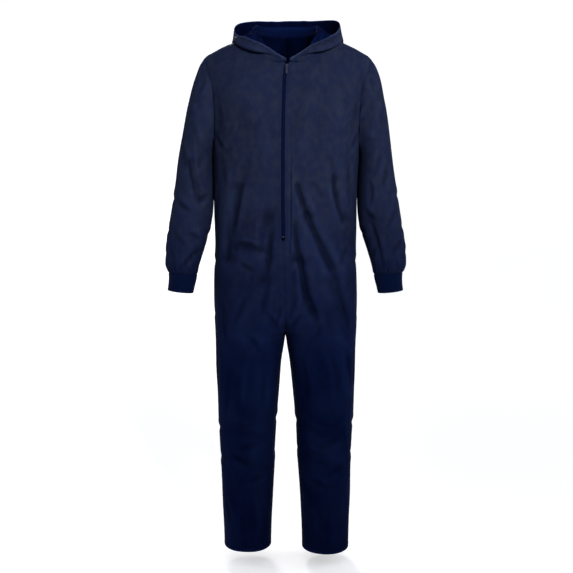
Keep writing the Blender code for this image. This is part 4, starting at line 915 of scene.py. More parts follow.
paintedReliefShade = {  # painted shade and highlight: the cloth's colour is darker in troughs and paler on ridges and folded edges
    "passes": 24, "height": 0.0016, "edge": 0.0040, "edgeOutside": 4, "edgeInside": 2,
}
seams = {
    "dip": 0.0006, "dipWidth": 0.0042,  # the cloth sinks towards a seam
    "swell": 0.0004, "swellAt": 0.0085, "swellWidth": 0.0045,  # the allowance lies under it
    "pucker": 0.00028, "puckerFades": 0.011, "puckerWaves": (0.0031, 0.0047, 0.0079), "puckerMean": 2.2,
    "hemStitch": 0.0140, "hemGroove": 0.0006, "hemGrooveWidth": 0.0016, "hemSwell": 0.0005, "hemRise": 0.0012,
    "roping": 0.5, "ropingSlant": 0.8, "ropingAt": 0.008, "ropingWidth": 0.007,
    "ringStep": 0.002, "ringColumns": 40, "cuffSeamStep": 0.0015,  # a column's width round a sleeve
    "zipFade": 0.01,
}
nose = {"room": 0.006, "reach": 1.14, "turns": (38, 72)}


# Uneven small waves for puckers: three sines whose lengths don't divide each other.
def puckers(along, seed):
    turns = np.random.default_rng(seed).uniform(0, 2 * np.pi, 3)
    waves = sum(np.sin(along / long + turn) for long, turn in zip(seams["puckerWaves"], turns))
    return waves / seams["puckerMean"]


# Relief beside a sewn edge: minus a bell at the seam, plus a bell over its allowance, plus puckers.
def seamRelief(away, along, seed):
    relief = -seams["dip"] * bell(away / seams["dipWidth"])
    relief = relief + seams["swell"] * bell((away - seams["swellAt"]) / seams["swellWidth"])
    return relief + seams["pucker"] * puckers(along, seed) * np.exp(-away / seams["puckerFades"]) * (away > 0)


# Relief of a turned hem: a stitched groove, and the doubled cloth below it a little prouder and roped.
def hemRelief(away, along, seed):
    groove = bell((away - seams["hemStitch"]) / seams["hemGrooveWidth"])
    proud = 1 / (1 + np.exp(np.clip((away - seams["hemStitch"]) / seams["hemRise"], -20, 20)))
    roping = puckers(along + away * seams["ropingSlant"], seed)
    roping = roping * bell((away - seams["ropingAt"]) / seams["ropingWidth"])
    return -seams["hemGroove"] * groove + seams["hemSwell"] * (proud + seams["roping"] * roping)


# The piece's edges are moved back by half their thickness within a few millimetres, to make room for
# a round nose on each.
def movedBack(points, normal, half, wraps):
    moved = points.copy()
    far = edgeDistances(points, wraps)
    whole = slice(None)
    sides = [("top", (0, whole), (1, whole)), ("bottom", (-1, whole), (-2, whole))]
    if not wraps:
        sides += [("inner", (whole, 0), (whole, 1)), ("outer", (whole, -1), (whole, -2))]
    for name, edge, inside in sides:
        line = points[edge]
        tangent = (np.roll(line, -1, 0) - np.roll(line, 1, 0)) if wraps else np.gradient(line, axis=0)
        across = unit(np.cross(normal[edge], tangent))
        across *= np.sign((across * (points[inside] - line)).sum(-1, keepdims=True))
        step = across * half[edge][..., None]
        fade = np.clip(1 - far[name] / nose["room"], 0, 1)[..., None]
        moved += (step[None] if name in ("top", "bottom") else step[:, None]) * fade
    return moved


# A round nose past an edge: two steps of a half circle from the outer side, two from the inner. It
# reaches a little past the seam, so that no light comes through.
def nosed(outer, inner, deep, axis):
    outer, inner, deep = (np.moveaxis(grid, axis, 0) for grid in (outer, inner, deep))
    middle = (outer + inner) / 2
    half = (outer - inner) / 2
    ends = []
    for edge, inside in ((0, 1), (-1, -2)):
        way = unit(middle[edge] - middle[inside])
        size = deep[edge][..., None] * nose["reach"]
        for turn in np.radians(nose["turns"]):
            push = way * size * math.sin(turn)
            lift = half[edge] * math.cos(turn)
            ends.append(((middle[edge] + lift + push)[None], (middle[edge] - lift + push)[None]))
    first, second, third, fourth = ends
    outer = np.concatenate((second[0], first[0], outer, third[0], fourth[0]))
    inner = np.concatenate((second[1], first[1], inner, third[1], fourth[1]))
    return np.moveaxis(outer, 0, axis), np.moveaxis(inner, 0, axis)


def addMesh(name, vertices, quads, uvs, finish):
    mesh = bpy.data.meshes.new(name)
    mesh.vertices.add(len(vertices))
    mesh.vertices.foreach_set("co", np.ascontiguousarray(vertices, np.float32).ravel())
    mesh.loops.add(quads.size)
    mesh.loops.foreach_set("vertex_index", np.ascontiguousarray(quads, np.int32).ravel())
    mesh.polygons.add(len(quads))
    mesh.polygons.foreach_set("loop_start", np.arange(0, quads.size, quads.shape[1], dtype=np.int32))
    if uvs is not None:
        layer = mesh.uv_layers.new(name="cloth")
        layer.data.foreach_set("uv", np.ascontiguousarray(uvs[quads.ravel()], np.float32).ravel())
    mesh.update(calc_edges=True)
    mesh.shade_smooth()
    mesh.materials.append(finish)
    made = bpy.data.objects.new(name, mesh)
    bpy.context.scene.collection.objects.link(made)
    return made


# Quads between neighbouring grid points; rows or columns may close on themselves.
def gridQuads(rows, columns, closeRows=False, closeColumns=False):
    index = np.arange(rows * columns).reshape(rows, columns)
    if closeColumns:
        index = np.concatenate((index, index[:, :1]), axis=1)
    if closeRows:
        index = np.concatenate((index, index[:1]), axis=0)
    return np.stack((index[:-1, :-1], index[1:, :-1], index[1:, 1:], index[:-1, 1:]), -1).reshape(-1, 4)


# How far each point stands above the mean of the cloth round it: plus on a ridge, minus in a trough.
# The mean comes from repeated averaging with the four neighbours.
def raisedAbove(points, normal, wraps):
    mean = points
    for _ in range(paintedReliefShade["passes"]):
        tall = np.pad(mean, ((1, 1), (0, 0), (0, 0)), mode="edge")
        wide = np.pad(mean, ((0, 0), (1, 1), (0, 0)), mode="wrap" if wraps else "edge")
        mean = (tall[:-2] + tall[2:] + wide[:, :-2] + wide[:, 2:] + 4 * mean) / 8
    return ((points - mean) * normal).sum(-1) / paintedReliefShade["height"]


# The closed wall of a piece: outer grid, inner grid one thickness in, round noses, rims of quads.
def wallOf(sheet, finish, relief=None, lining=None):
    half = np.linalg.norm(sheet["out"], axis=-1) * sheet["cloth"] / 2
    outer = movedBack(sheet["points"], sheet["normal"], half, sheet["wraps"])
    inner = outer - sheet["out"] * sheet["cloth"]
    if relief is not None:
        outer = outer + unit(sheet["out"]) * relief[..., None]
    raised = raisedAbove(outer, sheet["normal"], sheet["wraps"])
    # Painted highlight: a bell along the bottom edge makes the colour paler there, on every piece given
    # relief except the sleeves.
    getsEdgeHighlight = relief is not None and not sheet["name"].startswith("sleeve")
    paintedLight = bell(edgeDistances(sheet["points"], sheet["wraps"])["bottom"] / paintedReliefShade["edge"]) * getsEdgeHighlight
    outer, inner = nosed(outer, inner, half, 0)
    if not sheet["wraps"]:
        outer, inner = nosed(outer, inner, np.pad(half, ((2, 2), (0, 0)), mode="edge"), 1)
    rows, columns = outer.shape[:2]
    count = rows * columns
    face = gridQuads(rows, columns, closeColumns=sheet["wraps"])
    index = np.arange(count).reshape(rows, columns)
    if sheet["wraps"]:
        index = np.concatenate((index, index[:, :1]), axis=1)
    rims = [(index[0, 1:], index[0, :-1]), (index[-1, :-1], index[-1, 1:])]
    if not sheet["wraps"]:
        rims += [(index[:-1, 0], index[1:, 0]), (index[1:, -1], index[:-1, -1])]
    walls = [np.stack((end, start, start + count, end + count), 1) for start, end in rims]
    quads = np.concatenate([face, face[:, ::-1] + count] + walls)
    if sheet["flips"]:
        quads = quads[:, ::-1]
    beyond = outer[:, :1] if sheet["wraps"] else outer[:, -1:]
    steps = np.linalg.norm(np.diff(outer, axis=1, append=beyond), axis=2)
    across = np.cumsum(steps, axis=1) - steps
    fall = np.linalg.norm(np.diff(outer, axis=0, prepend=outer[:1]), axis=2)
    uv = np.stack((across, np.cumsum(fall, axis=0)), axis=-1).reshape(-1, 2)
    vertices = np.concatenate((outer.reshape(-1, 3), inner.reshape(-1, 3)))
    made = addMesh(sheet["name"] + "_cloth", vertices, quads, np.concatenate((uv, uv)), finish)
    pads = [(outer.shape[axis] - raised.shape[axis]) // 2 for axis in (0, 1)]
    raised, paintedLight = (np.pad(values, [(pad, pad) for pad in pads], mode="edge") for values in (raised, paintedLight))
    # The attribute raised carries painted shade and highlight: darker in troughs and paler on ridges and
    # along the bottom edge, on the outer face and, turned over, on the inner face.
    outside = np.clip(raised, -1, 1) + paintedReliefShade["edgeOutside"] * paintedLight
    inside = np.clip(-raised, -1, 2) + paintedReliefShade["edgeInside"] * paintedLight
    layer = made.data.attributes.new("raised", "FLOAT", "POINT")
    layer.data.foreach_set("value", np.concatenate((outside.ravel(), inside.ravel())).astype(np.float32))
    if lining is not None:
        made.data.materials.append(lining)
        order = np.arange(len(quads))
        within = (order >= len(face)) & (order < 2 * len(face))
        made.data.polygons.foreach_set("material_index", within.astype(np.int32))
    return made


def halfArea(made):
    total = np.zeros(len(made.data.polygons))
    made.data.polygons.foreach_get("area", total)
    return total.sum() / 2


# The skin of a bar: quads round its rings of points, and over both end rings.
def barQuads(rings, sides):
    around = gridQuads(rings, sides, closeColumns=True)
    end = np.array([(k, k + 1, sides - 2 - k, sides - 1 - k) for k in range(sides // 2 - 1)])
    return np.concatenate((around, end, end[:, ::-1] + (rings - 1) * sides))


# Small capsules in one mesh, such as stitches or teeth: at each centre a round bar along its axis,
# of radius r(s) = R * sqrt(1 - 0.85 s^2) for s from -1 to 1, flattened, and arched towards up.
def capsules(name, centres, axis, up, size, finish, stations=5, sides=6):
    axis = unit(axis)
    side = unit(np.cross(axis, up))
    up = np.cross(side, axis)
    s = np.linspace(-1, 1, stations)
    radius = np.sqrt(1 - 0.85 * s**2)
    turn = fullTurn(sides)
    along = axis[:, None, None] * (s * size["long"] / 2)[None, :, None, None]
    lifted = up[:, None, None] * (size["arch"] * (1 - s**2))[None, :, None, None]
    bulge = side[:, None, None] * (np.cos(turn) * size["wide"] / 2)[None, None, :, None]
    bulge = bulge + up[:, None, None] * (np.sin(turn) * size["high"] / 2)[None, None, :, None]
    points = centres[:, None, None] + along + lifted + bulge * radius[None, :, None, None]
    starts = (np.arange(len(centres)) * stations * sides)[:, None, None]
    quads = barQuads(stations, sides)[None] + starts
    return addMesh(name, points.reshape(-1, 3), quads.reshape(-1, 4), None, finish)


# A path of points and their ways out, taken again at an even pitch, with its own direction.
def evenly(points, out, pitch):
    along = summed(points)
    at = np.arange(pitch / 2, along[-1], pitch)
    place = takenAt(at, along, points)
    return place, unit(np.gradient(place, axis=0)), unit(takenAt(at, along, out))


thread = {"pitch": 0.0033, "long": 0.0027, "wide": 0.0007, "high": 0.0006, "arch": 0.00020, "lift": 0.00012}


# A row of stitches at a distance from one edge of a made sheet, found by interpolating its columns
# or rows at that distance.
def seamPath(sheet, edge, distance, span=None):
    far = edgeDistances(sheet["surface"], sheet["wraps"])[edge]
    points, out = sheet["surface"], sheet["normal"]
    if edge in ("top", "bottom"):
        points, out, far = points.transpose(1, 0, 2), out.transpose(1, 0, 2), far.T
    if edge in ("bottom", "outer"):
        points, out, far = points[:, ::-1], out[:, ::-1], far[:, ::-1]
    k = np.clip((far < distance).sum(axis=1) - 1, 0, far.shape[1] - 2)
    row = np.arange(len(k))
    t = ((distance - far[row, k]) / (far[row, k + 1] - far[row, k]))[:, None]
    path = points[row, k] * (1 - t) + points[row, k + 1] * t
    ways = out[row, k] * (1 - t) + out[row, k + 1] * t
    if span is not None:
        path, ways = path[span], ways[span]
    elif sheet["wraps"]:
        path = np.concatenate((path, path[:1]))
        ways = np.concatenate((ways, ways[:1]))
    return path, ways


def stitchRows(name, paths, finish):
    places, axes, ups = [], [], []
    for path, ways in paths:
        place, axis, up = evenly(path, ways, thread["pitch"])
        places.append(place + up * thread["lift"])
        axes.append(axis)
        ups.append(up)
    places, axes, ups = (np.concatenate(values) for values in (places, axes, ups))
    made = capsules(name, places, axes, ups, thread, finish)
    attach(made, "garment")
    return made


# Colours and materials

# An sRGB hex colour as linear: ((c + 0.055) / 1.055)^2.4, or c / 12.92 where it is very dark.
def hexColour(text):
    parts = np.array([int(text[k : k + 2], 16) for k in (1, 3, 5)]) / 255
    linear = np.where(parts > 0.04045, ((parts + 0.055) / 1.055) ** 2.4, parts / 12.92)
    return (*linear.tolist(), 1.0)


# A shader node: a setting is linked where it is another node's output, and set as a value otherwise.
def addNode(tree, kind, settings):
    node = tree.nodes.new("ShaderNode" + kind)
    for name, value in settings.items():
        if isinstance(value, bpy.types.NodeSocket):
            tree.links.new(value, node.inputs[name])
        elif isinstance(name, int) or name in node.inputs:
            node.inputs[name].default_value = value
        else:
            setattr(node, name, value)
    return node


def newMaterial(name, coordinates="Object"):
    made = bpy.data.materials.new(name)
    made.use_nodes = True
    tree = made.node_tree
    tree.nodes.clear()
    if coordinates == "Object":
        return made, tree, addNode(tree, "TexCoord", {}).outputs["Object"]
    return made, tree, addNode(tree, "UVMap", {"uv_map": coordinates}).outputs["UV"]


def noise(tree, place, scale, detail, distortion=0.0):
    settings = {"Vector": place, "Scale": scale, "Detail": detail, "Distortion": distortion}
    return addNode(tree, "TexNoise", settings).outputs["Fac"]


def waves(tree, place, scale, **more):
    return addNode(tree, "TexWave", {"Vector": place, "Scale": scale, **more}).outputs["Fac"]


# A value carried from one range, low to high, into another, first to last.
def ranged(tree, value, low, high, first=0.0, last=1.0, clamp=True):
    settings = {0: value, 1: low, 2: high, 3: first, 4: last, "clamp": clamp}
    return addNode(tree, "MapRange", settings).outputs[0]


def combined(tree, operation, first, second):
    return addNode(tree, "Math", {"operation": operation, 0: first, 1: second}).outputs[0]


# A colour between two, each a hex colour or another node's output.
def mixed(tree, first, second, share):
    first, second = (hexColour(end) if isinstance(end, str) else end for end in (first, second))
    return addNode(tree, "Mix", {"data_type": "RGBA", 0: share, 6: first, 7: second}).outputs[2]


def multiplied(tree, colour, value):
    settings = {"data_type": "RGBA", "blend_type": "MULTIPLY", 0: 1.0, 6: colour, 7: value}
    return addNode(tree, "Mix", settings).outputs[2]


# Painted shade and highlight by the cloth's relief: a colour factor from the first value in a trough, where
# shade falls, to the last on a ridge or an edge.
def paintedShadeByRelief(tree, first, last):
    raised = addNode(tree, "Attribute", {"attribute_name": "raised"}).outputs["Fac"]
    return ranged(tree, raised, -1.0, 1.0, first, last, False)


def bumped(tree, height, strength, distance, **over):
    settings = {"Height": height, "Strength": strength, "Distance": distance, **over}
    return addNode(tree, "Bump", settings).outputs["Normal"]


def shaded(tree, settings):
    shader = addNode(tree, "BsdfPrincipled", settings)
    addNode(tree, "OutputMaterial", {"Surface": shader.outputs[0]})


fibreIOR = 1.15  # fibres with air between them bend light little, so cloth has no glare at its rims

# Velour fleece: a polyester pile knit, sheared and brushed. Its pile swallows light head on, shines softly at
# the rims, and shows paler and darker where the pile was brushed different ways. Its colour also carries
# painted light: paler and greyer above the thighs, darker in troughs, and paler on ridges and edges.
fleece = {
    # the third colour is the paler brushed pile and also painted light; closed and opened are factors for
    # painted shade in troughs and painted highlight on ridges
    "deep": "#010620", "face": "#050e29", "strokedAndLit": "#171b25", "closed": 0.60, "opened": 1.38,
    "patch": 0.110, "stroke": 0.016, "pile": 0.0009, "dimple": 0.0026,  # metres
    "patchRange": (0.35, 0.68), "strokeRange": (0.40, 0.72), "leastStroked": 0.55,
    "fleckRange": (0.3, 0.7), "flecks": (0.86, 1.14),  # how much darker and paler single tufts are
    "drop": 0.75,  # patches and strokes are longer down the cloth
    "paintedLitHeights": (-0.95, -0.45), "paintedLitShares": (0.12, 0.75),  # painted light: more of the paler colour above the thighs, for the light on the upper body
    "rough": (0.66, 0.54), "specular": 0.016, "sheen": 0.008, "sheenRoughness": 0.35, "sheenTint": "#c4cdf5",
}


def velourFleece():
    made, tree, place = newMaterial("velour fleece, sheared pile")
    long = addNode(tree, "Mapping", {"Vector": place, "Scale": (1, 1, fleece["drop"])}).outputs["Vector"]
    patch = noise(tree, long, 1 / fleece["patch"], 3, 0.6)
    stroke = noise(tree, long, 1 / fleece["stroke"], 4, 0.3)
    pile = noise(tree, place, 1 / fleece["pile"], 2)
    dimple = noise(tree, place, 1 / fleece["dimple"], 3)
    base = mixed(tree, fleece["deep"], fleece["face"], ranged(tree, patch, *fleece["patchRange"]))
    # Painted light: by height, the paler colour takes a larger share above the thighs than on the legs,
    # standing for the light on the upper body.
    height = addNode(tree, "SeparateXYZ", {"Vector": place}).outputs["Z"]
    paintedLight = ranged(tree, height, *fleece["paintedLitHeights"], *fleece["paintedLitShares"])
    fine = ranged(tree, ranged(tree, stroke, *fleece["strokeRange"]), 0.0, 1.0, fleece["leastStroked"], 1.0)
    coat = mixed(tree, base, fleece["strokedAndLit"], combined(tree, "MULTIPLY", fine, paintedLight))
    flecked = multiplied(tree, coat, ranged(tree, pile, *fleece["fleckRange"], *fleece["flecks"]))
    soft = bumped(tree, dimple, 0.22, 0.0004)
    shaded(tree, {
        "Base Color": multiplied(tree, flecked, paintedShadeByRelief(tree, fleece["closed"], fleece["opened"])),
        "Roughness": ranged(tree, patch, 0.35, 0.65, *fleece["rough"]),
        "Normal": bumped(tree, pile, 0.60, 0.0003, Normal=soft),
        "IOR": fibreIOR, "Specular IOR Level": fleece["specular"],
        "Sheen Weight": fleece["sheen"], "Sheen Roughness": fleece["sheenRoughness"],
        "Sheen Tint": hexColour(fleece["sheenTint"]),
    })
    return made


# The fleece's inner face: the knit ground with a little cropped pile, with no gloss. Its colour is darker
# than the face, partly the knit ground's own tone and partly painted shade for the shaded inside of the
# garment, and it carries painted shade in troughs and painted highlight on ridges and edges.
fleeceBack = {"deep": "#010419", "face": "#03081d", "tuft": 0.0016, "closed": 0.45, "opened": 1.60}


def knitBack():
    made, tree, place = newMaterial("velour fleece, inner face")
    tuft = noise(tree, place, 1 / fleeceBack["tuft"], 3)
    ground = mixed(tree, fleeceBack["deep"], fleeceBack["face"], tuft)
    shaded(tree, {
        "Base Color": multiplied(tree, ground, paintedShadeByRelief(tree, fleeceBack["closed"], fleeceBack["opened"])),
        "Roughness": 0.9, "IOR": fibreIOR, "Specular IOR Level": 0.01,
        "Normal": bumped(tree, tuft, 0.4, 0.0004),
    })
    return made


# Rib knit: polyester and elastane, knitted in raised ribs. Matter than the pile, its yarn loops show
# as small vees between the ribs.
rib = {"deep": "#010617", "face": "#060e28", "loop": 0.0011, "roughness": 0.60, "sheen": 0.04}


def ribKnit():
    made, tree, place = newMaterial("rib knit, polyester", "cloth")
    loops = waves(tree, place, 0.32 / rib["loop"], bands_direction="Y", Distortion=1.2, Detail=1)
    both = combined(tree, "ADD", loops, noise(tree, place, 0.6 / rib["loop"], 3))
    shaded(tree, {
        "Base Color": mixed(tree, rib["deep"], rib["face"], ranged(tree, both, 0.3, 1.6)),
        "Roughness": rib["roughness"], "IOR": fibreIOR, "Specular IOR Level": 0.02,
        "Sheen Weight": rib["sheen"], "Sheen Roughness": 0.4, "Sheen Tint": hexColour(fleece["sheenTint"]),
        "Normal": bumped(tree, both, 0.5, 0.0003),
    })
    return made


# Woven polyester tape: a close herringbone, two wave patterns that lean against each other.
tape = {"deep": "#01041a", "face": "#040b24", "twill": 0.0013, "lean": 0.8, "roughness": 0.60}


def wovenTape():
    made, tree, place = newMaterial("woven polyester tape", "cloth")
    leans = []
    for turn in (tape["lean"], -tape["lean"]):
        lean = addNode(tree, "Mapping", {"Vector": place, "Rotation": (0, 0, turn)}).outputs["Vector"]
        leans.append(waves(tree, lean, 0.32 / tape["twill"]))
    weave = combined(tree, "MULTIPLY", *leans)
    shaded(tree, {
        "Base Color": mixed(tree, tape["deep"], tape["face"], weave),
        "Roughness": tape["roughness"], "IOR": fibreIOR, "Specular IOR Level": 0.05,
        "Normal": bumped(tree, weave, 0.5, 0.0002),
    })
    return made


# Spun polyester sewing thread: two plies twisted, a little glossier than the pile around it.
def sewingThread():
    made, tree, place = newMaterial("spun polyester sewing thread")
    twist = waves(tree, place, 900, Distortion=1.0)
    shaded(tree, {
        "Base Color": mixed(tree, "#040b24", "#0c1536", twist), "Roughness": 0.5,
        "IOR": fibreIOR, "Specular IOR Level": 0.06, "Normal": bumped(tree, twist, 0.4, 0.0001),
    })
    return made


# Nylon coil: monofilament wound and dyed, satin, its dye a little uneven.
def nylonCoil():
    made, tree, place = newMaterial("dyed nylon coil")
    dye = noise(tree, place, 260, 2)
    shaded(tree, {
        "Base Color": mixed(tree, "#03081c", "#080f28", dye),
        "Roughness": ranged(tree, dye, 0, 1, 0.50, 0.65),
        "IOR": fibreIOR, "Specular IOR Level": 0.06,
    })
    return made


# Die-cast zinc, plated dark and lacquered navy: satin, with brighter metal where edges rub.
def platedZinc():
    made, tree, place = newMaterial("die-cast zinc, dark plated")
    cast = noise(tree, place, 700, 3)
    wear = noise(tree, place, 180, 4)
    edge = addNode(tree, "NewGeometry", {}).outputs["Pointiness"]
    rubbed = combined(tree, "MULTIPLY", ranged(tree, edge, 0.50, 0.62), wear)
    shaded(tree, {
        "Base Color": mixed(tree, "#0a0f20", "#343a50", rubbed),
        "Roughness": ranged(tree, wear, 0, 1, 0.50, 0.64),
        "Metallic": 0.30, "Specular IOR Level": 0.12, "Normal": bumped(tree, cast, 0.15, 0.0001),
    })
    return made


fleeceFinish = velourFleece()
backFinish = knitBack()
ribFinish = ribKnit()
tapeFinish = wovenTape()
threadFinish = sewingThread()
coilFinish = nylonCoil()
zincFinish = platedZinc()
print("materials ready")


# The cloth pieces are laid out, share their seams, and are creased together

sheets = {}
for side, word in ((1, "left"), (-1, "right")):
    for kind, grid, wraps, flips, cloth in (
        ("front", bodyPanel(side, "front"), False, side < 0, body["cloth"]),
        ("back", bodyPanel(side, "back"), False, side > 0, body["cloth"]),
        ("sleeve", sleeveGrid(side), True, side > 0, sleeve["cloth"]),
        ("cuff", cuffGrid(side), True, side > 0, cuff["cloth"]),
        ("hood", hoodGrid(side), False, side > 0, hood["cloth"]),
    ):
        sheets[f"{kind}_{word}"] = newSheet(f"{kind}_{word}", grid, wraps, flips, cloth)
shareSeams(list(sheets.values()))

gathers = {
    "waves": (19, 27, 34), "height": 0.0011, "fades": 0.034, "slant": 40,
    "start": 0.004, "least": 0.15, "seed": 5,
}
hoodRise = 0.03  # the hood's creases grow over this much above the neck seam


# Gathers round the sleeve's end: three sines round the ring, strongest a little above the cuff.
def gatherHeight(points, side):
    away = edgeDistances(points, True)["bottom"]
    turn = fullTurn(points.shape[1])[None]
    phase = np.random.default_rng(gathers["seed"] + side).uniform(0, 2 * np.pi, len(gathers["waves"]))
    slant = away * gathers["slant"]
    waves = sum(np.sin(n * turn + p + slant) for n, p in zip(gathers["waves"], phase)) / 2
    start = np.clip(away / gathers["start"], gathers["least"], 1)
    return gathers["height"] * waves * np.exp(-away / gathers["fades"]) * start


for name, sheet in sheets.items():
    kind, word = name.split("_")
    way = unit(sheet["out"])
    large = foldHeight(sheet["points"], way)
    fine = waveHeight(sheet["points"])
    if kind == "front":
        fine = fineHeight(sheet["points"], way) + fine * offPlacket(sheet["points"])
    elif kind == "back":
        fine = fineHeight(sheet["points"], way) + fine
    elif kind == "sleeve":
        gathered = gatherHeight(sheet["points"], 1 if word == "left" else -1)
        fine = fineHeight(sheet["points"], way) + fine + gathered
    elif kind == "hood":
        # its layers lie close, so both move the same way: away from the middle of the neck
        rise = np.clip(edgeDistances(sheet["points"], False)["top"] / hoodRise, 0, 1)
        fine = (-hoodHeight(sheet["points"], way) + fine) * rise
        way = unit(sheet["points"] - hood["neckMiddle"])
    sheet["plain"] = sheet["points"] + sheet["out"] * large[..., None]
    sheet["points"] = sheet["plain"] + way * fine[..., None]
    for key in ("plain", "points"):
        sheet[key][..., 0] += look(leanForm, "x", sheet[key][..., 2])
shareSeams(list(sheets.values()))
print("cloth creased")

# Relief beside the edges, then the walls
made = {}
for seed, (name, sheet) in enumerate(sheets.items()):
    kind = name.split("_")[0]
    far = edgeDistances(sheet["points"], sheet["wraps"])
    column = np.arange(far["top"].shape[1])[None]
    around = far["inner"] if "inner" in far else far["top"] * 0 + column * seams["ringStep"]
    height = seamRelief(far["top"], around, seed)
    if kind in ("front", "back", "hood"):
        height += hemRelief(far["bottom"], far["inner"], seed + 20)
        height += seamRelief(far["outer"], far["top"], seed + 40)
    if kind in ("front", "back"):
        inner = seamRelief(far["inner"], far["top"], seed + 60)
        if kind == "front":
            inner *= 1 - np.clip((sheet["points"][..., 2] - body["zipEndZ"]) / seams["zipFade"], 0, 1)
        height += inner
    elif kind == "sleeve":
        away = np.minimum(np.abs(column - column.size / 2), seams["ringColumns"]) * seams["ringStep"]
        height += seamRelief(away + far["top"] * 0, far["top"], seed + 40)
        height += seamRelief(far["bottom"], column * seams["cuffSeamStep"], seed + 60)
    elif kind == "cuff":
        ribs = np.abs(np.sin(fullTurn(column.size)[None] * cuff["ribs"] / 2)) ** cuff["ribRoundness"] - 0.5
        fade = np.clip(far["top"] / cuff["ribFade"], 0, 1)
        fade = fade * np.clip(far["bottom"] / cuff["ribFade"], cuff["ribAtEnd"], 1)
        height = cuff["ribDepth"] * ribs * fade - cuff["seamDip"] * bell(far["top"] / cuff["seamDipWidth"])
    # The inner faces take the inner-face finish, whose darker colour is partly painted shade.
    finish, lining, slot = fleeceFinish, backFinish, "velour_fleece"
    if kind == "cuff":
        finish, lining, slot = ribFinish, None, "rib_knit"
    made[name] = wallOf(sheet, finish, height, lining)
    sheet["surface"] = sheet["points"] + unit(sheet["out"]) * height[..., None]
    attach(made[name], "garment")
    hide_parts(name)
    print("cloth", name, len(made[name].data.polygons), "faces", round(halfArea(made[name]), 4), "m2")


# The zip: woven tapes behind the front edges, the closed coil, the bottom stop, the slider and its pull

zipper = {
    "layerGap": 0.0006, "fromNeck": 0.003, "underFront": 0.008, "columnsBehind": 9,
    "tape": 0.0009, "tapeRows": 0.004,
    "sliderAt": 0.0110, "sliderWidth": 0.0086, "sliderLength": 0.0105,
    "sliderProud": 0.0018, "sliderSunk": 0.0021, "sliderRoundness": 0.62, "sliderTaper": 0.22,
    # its plates' outline through the depth, as shares: a front plate, the waist and a back plate
    "sliderProfile": (
        (0, 0.80), (0.04, 0.90), (0.12, 0.975), (0.22, 1), (0.36, 0.99), (0.44, 0.84),
        (0.56, 0.84), (0.64, 0.99), (0.78, 1), (0.90, 0.97), (1, 0.86),
    ),
    "bailRadius": 0.0016, "bailWire": 0.0006, "bailWider": 1.25, "bailLift": 0.0013,
    "stopLong": 0.0045, "stopWide": 0.0062, "stopThick": 0.0014, "stopGap": 0.0004, "stopRoundness": 0.4,
    "stopProfile": ((0.0, 0.82), (0.1, 0.94), (0.3, 1), (0.7, 1), (0.9, 0.94), (1.0, 0.82)),
}
tooth = {
    "pitch": 0.0014, "long": 0.0031, "wide": 0.00105, "high": 0.0010, "arch": 0.0003,
    "aside": 0.00085, "openAside": 0.0020, "sunk": 0.0010,
    "first": 0.0010, "aboveSlider": 0.0004, "belowSlider": 0.0006,
}
zipRows = slice(body["neckRows"], body["upperRows"] + body["torsoRows"])
leftFront, rightFront = sheets["front_left"], sheets["front_right"]
zipMiddle = (leftFront["plain"][zipRows, 0] + rightFront["plain"][zipRows, 0]) / 2
zipAcross = unit(leftFront["plain"][zipRows, 0] - rightFront["plain"][zipRows, 0])
zipOut = unit(np.cross(np.gradient(zipMiddle, axis=0), zipAcross))
zipPaths = (zipMiddle, zipAcross, zipOut)
zipAlong = summed(zipMiddle)
zipLong = float(np.linalg.norm(np.diff(zipMiddle, axis=0), axis=1).sum())


# One tape: from the middle past the front's edge to a little way behind the front.
def zipTape(word, way, front):
    wanted = np.arange(zipper["fromNeck"], zipLong - zipper["layerGap"], zipper["tapeRows"])
    edge = front["plain"][zipRows, 0]
    first = zipMiddle + zipAcross * way * zipper["layerGap"]
    columns = [(first, zipOut), (edge, front["normal"][zipRows, 0])]
    near = np.arange(1, zipper["columnsBehind"])
    reach = np.linalg.norm(front["plain"][zipRows][:, near] - edge[:, None], axis=2)
    row = np.arange(len(edge)) + zipRows.start
    for away in (zipper["underFront"] / 2, zipper["underFront"]):
        at = np.array([np.interp(away, line, near) for line in reach])
        low = np.floor(at).astype(int)
        t = (at - low)[:, None]
        point = front["plain"][row, low] * (1 - t) + front["plain"][row, low + 1] * t
        columns.append((point, unit(front["normal"][row, low] * (1 - t) + front["normal"][row, low + 1] * t)))
    grid = np.array([takenAt(wanted, zipAlong, points) for points, _ in columns])
    out = unit(np.array([takenAt(wanted, zipAlong, ways) for _, ways in columns]))
    grid = grid - out * (body["cloth"] + zipper["layerGap"])
    grid, out = (halved(values).transpose(1, 0, 2) for values in (grid, out))
    out = unit(out)
    plain = newSheet(f"zip_tape_{word}", grid, False, way < 0, zipper["tape"])
    return plain | {"normal": out, "out": out, "surface": grid}


for tapeSheet in (zipTape("left", 1, leftFront), zipTape("right", -1, rightFront)):
    name = tapeSheet["name"]
    made[name] = wallOf(tapeSheet, tapeFinish)
    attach(made[name], "garment")
    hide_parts(name)


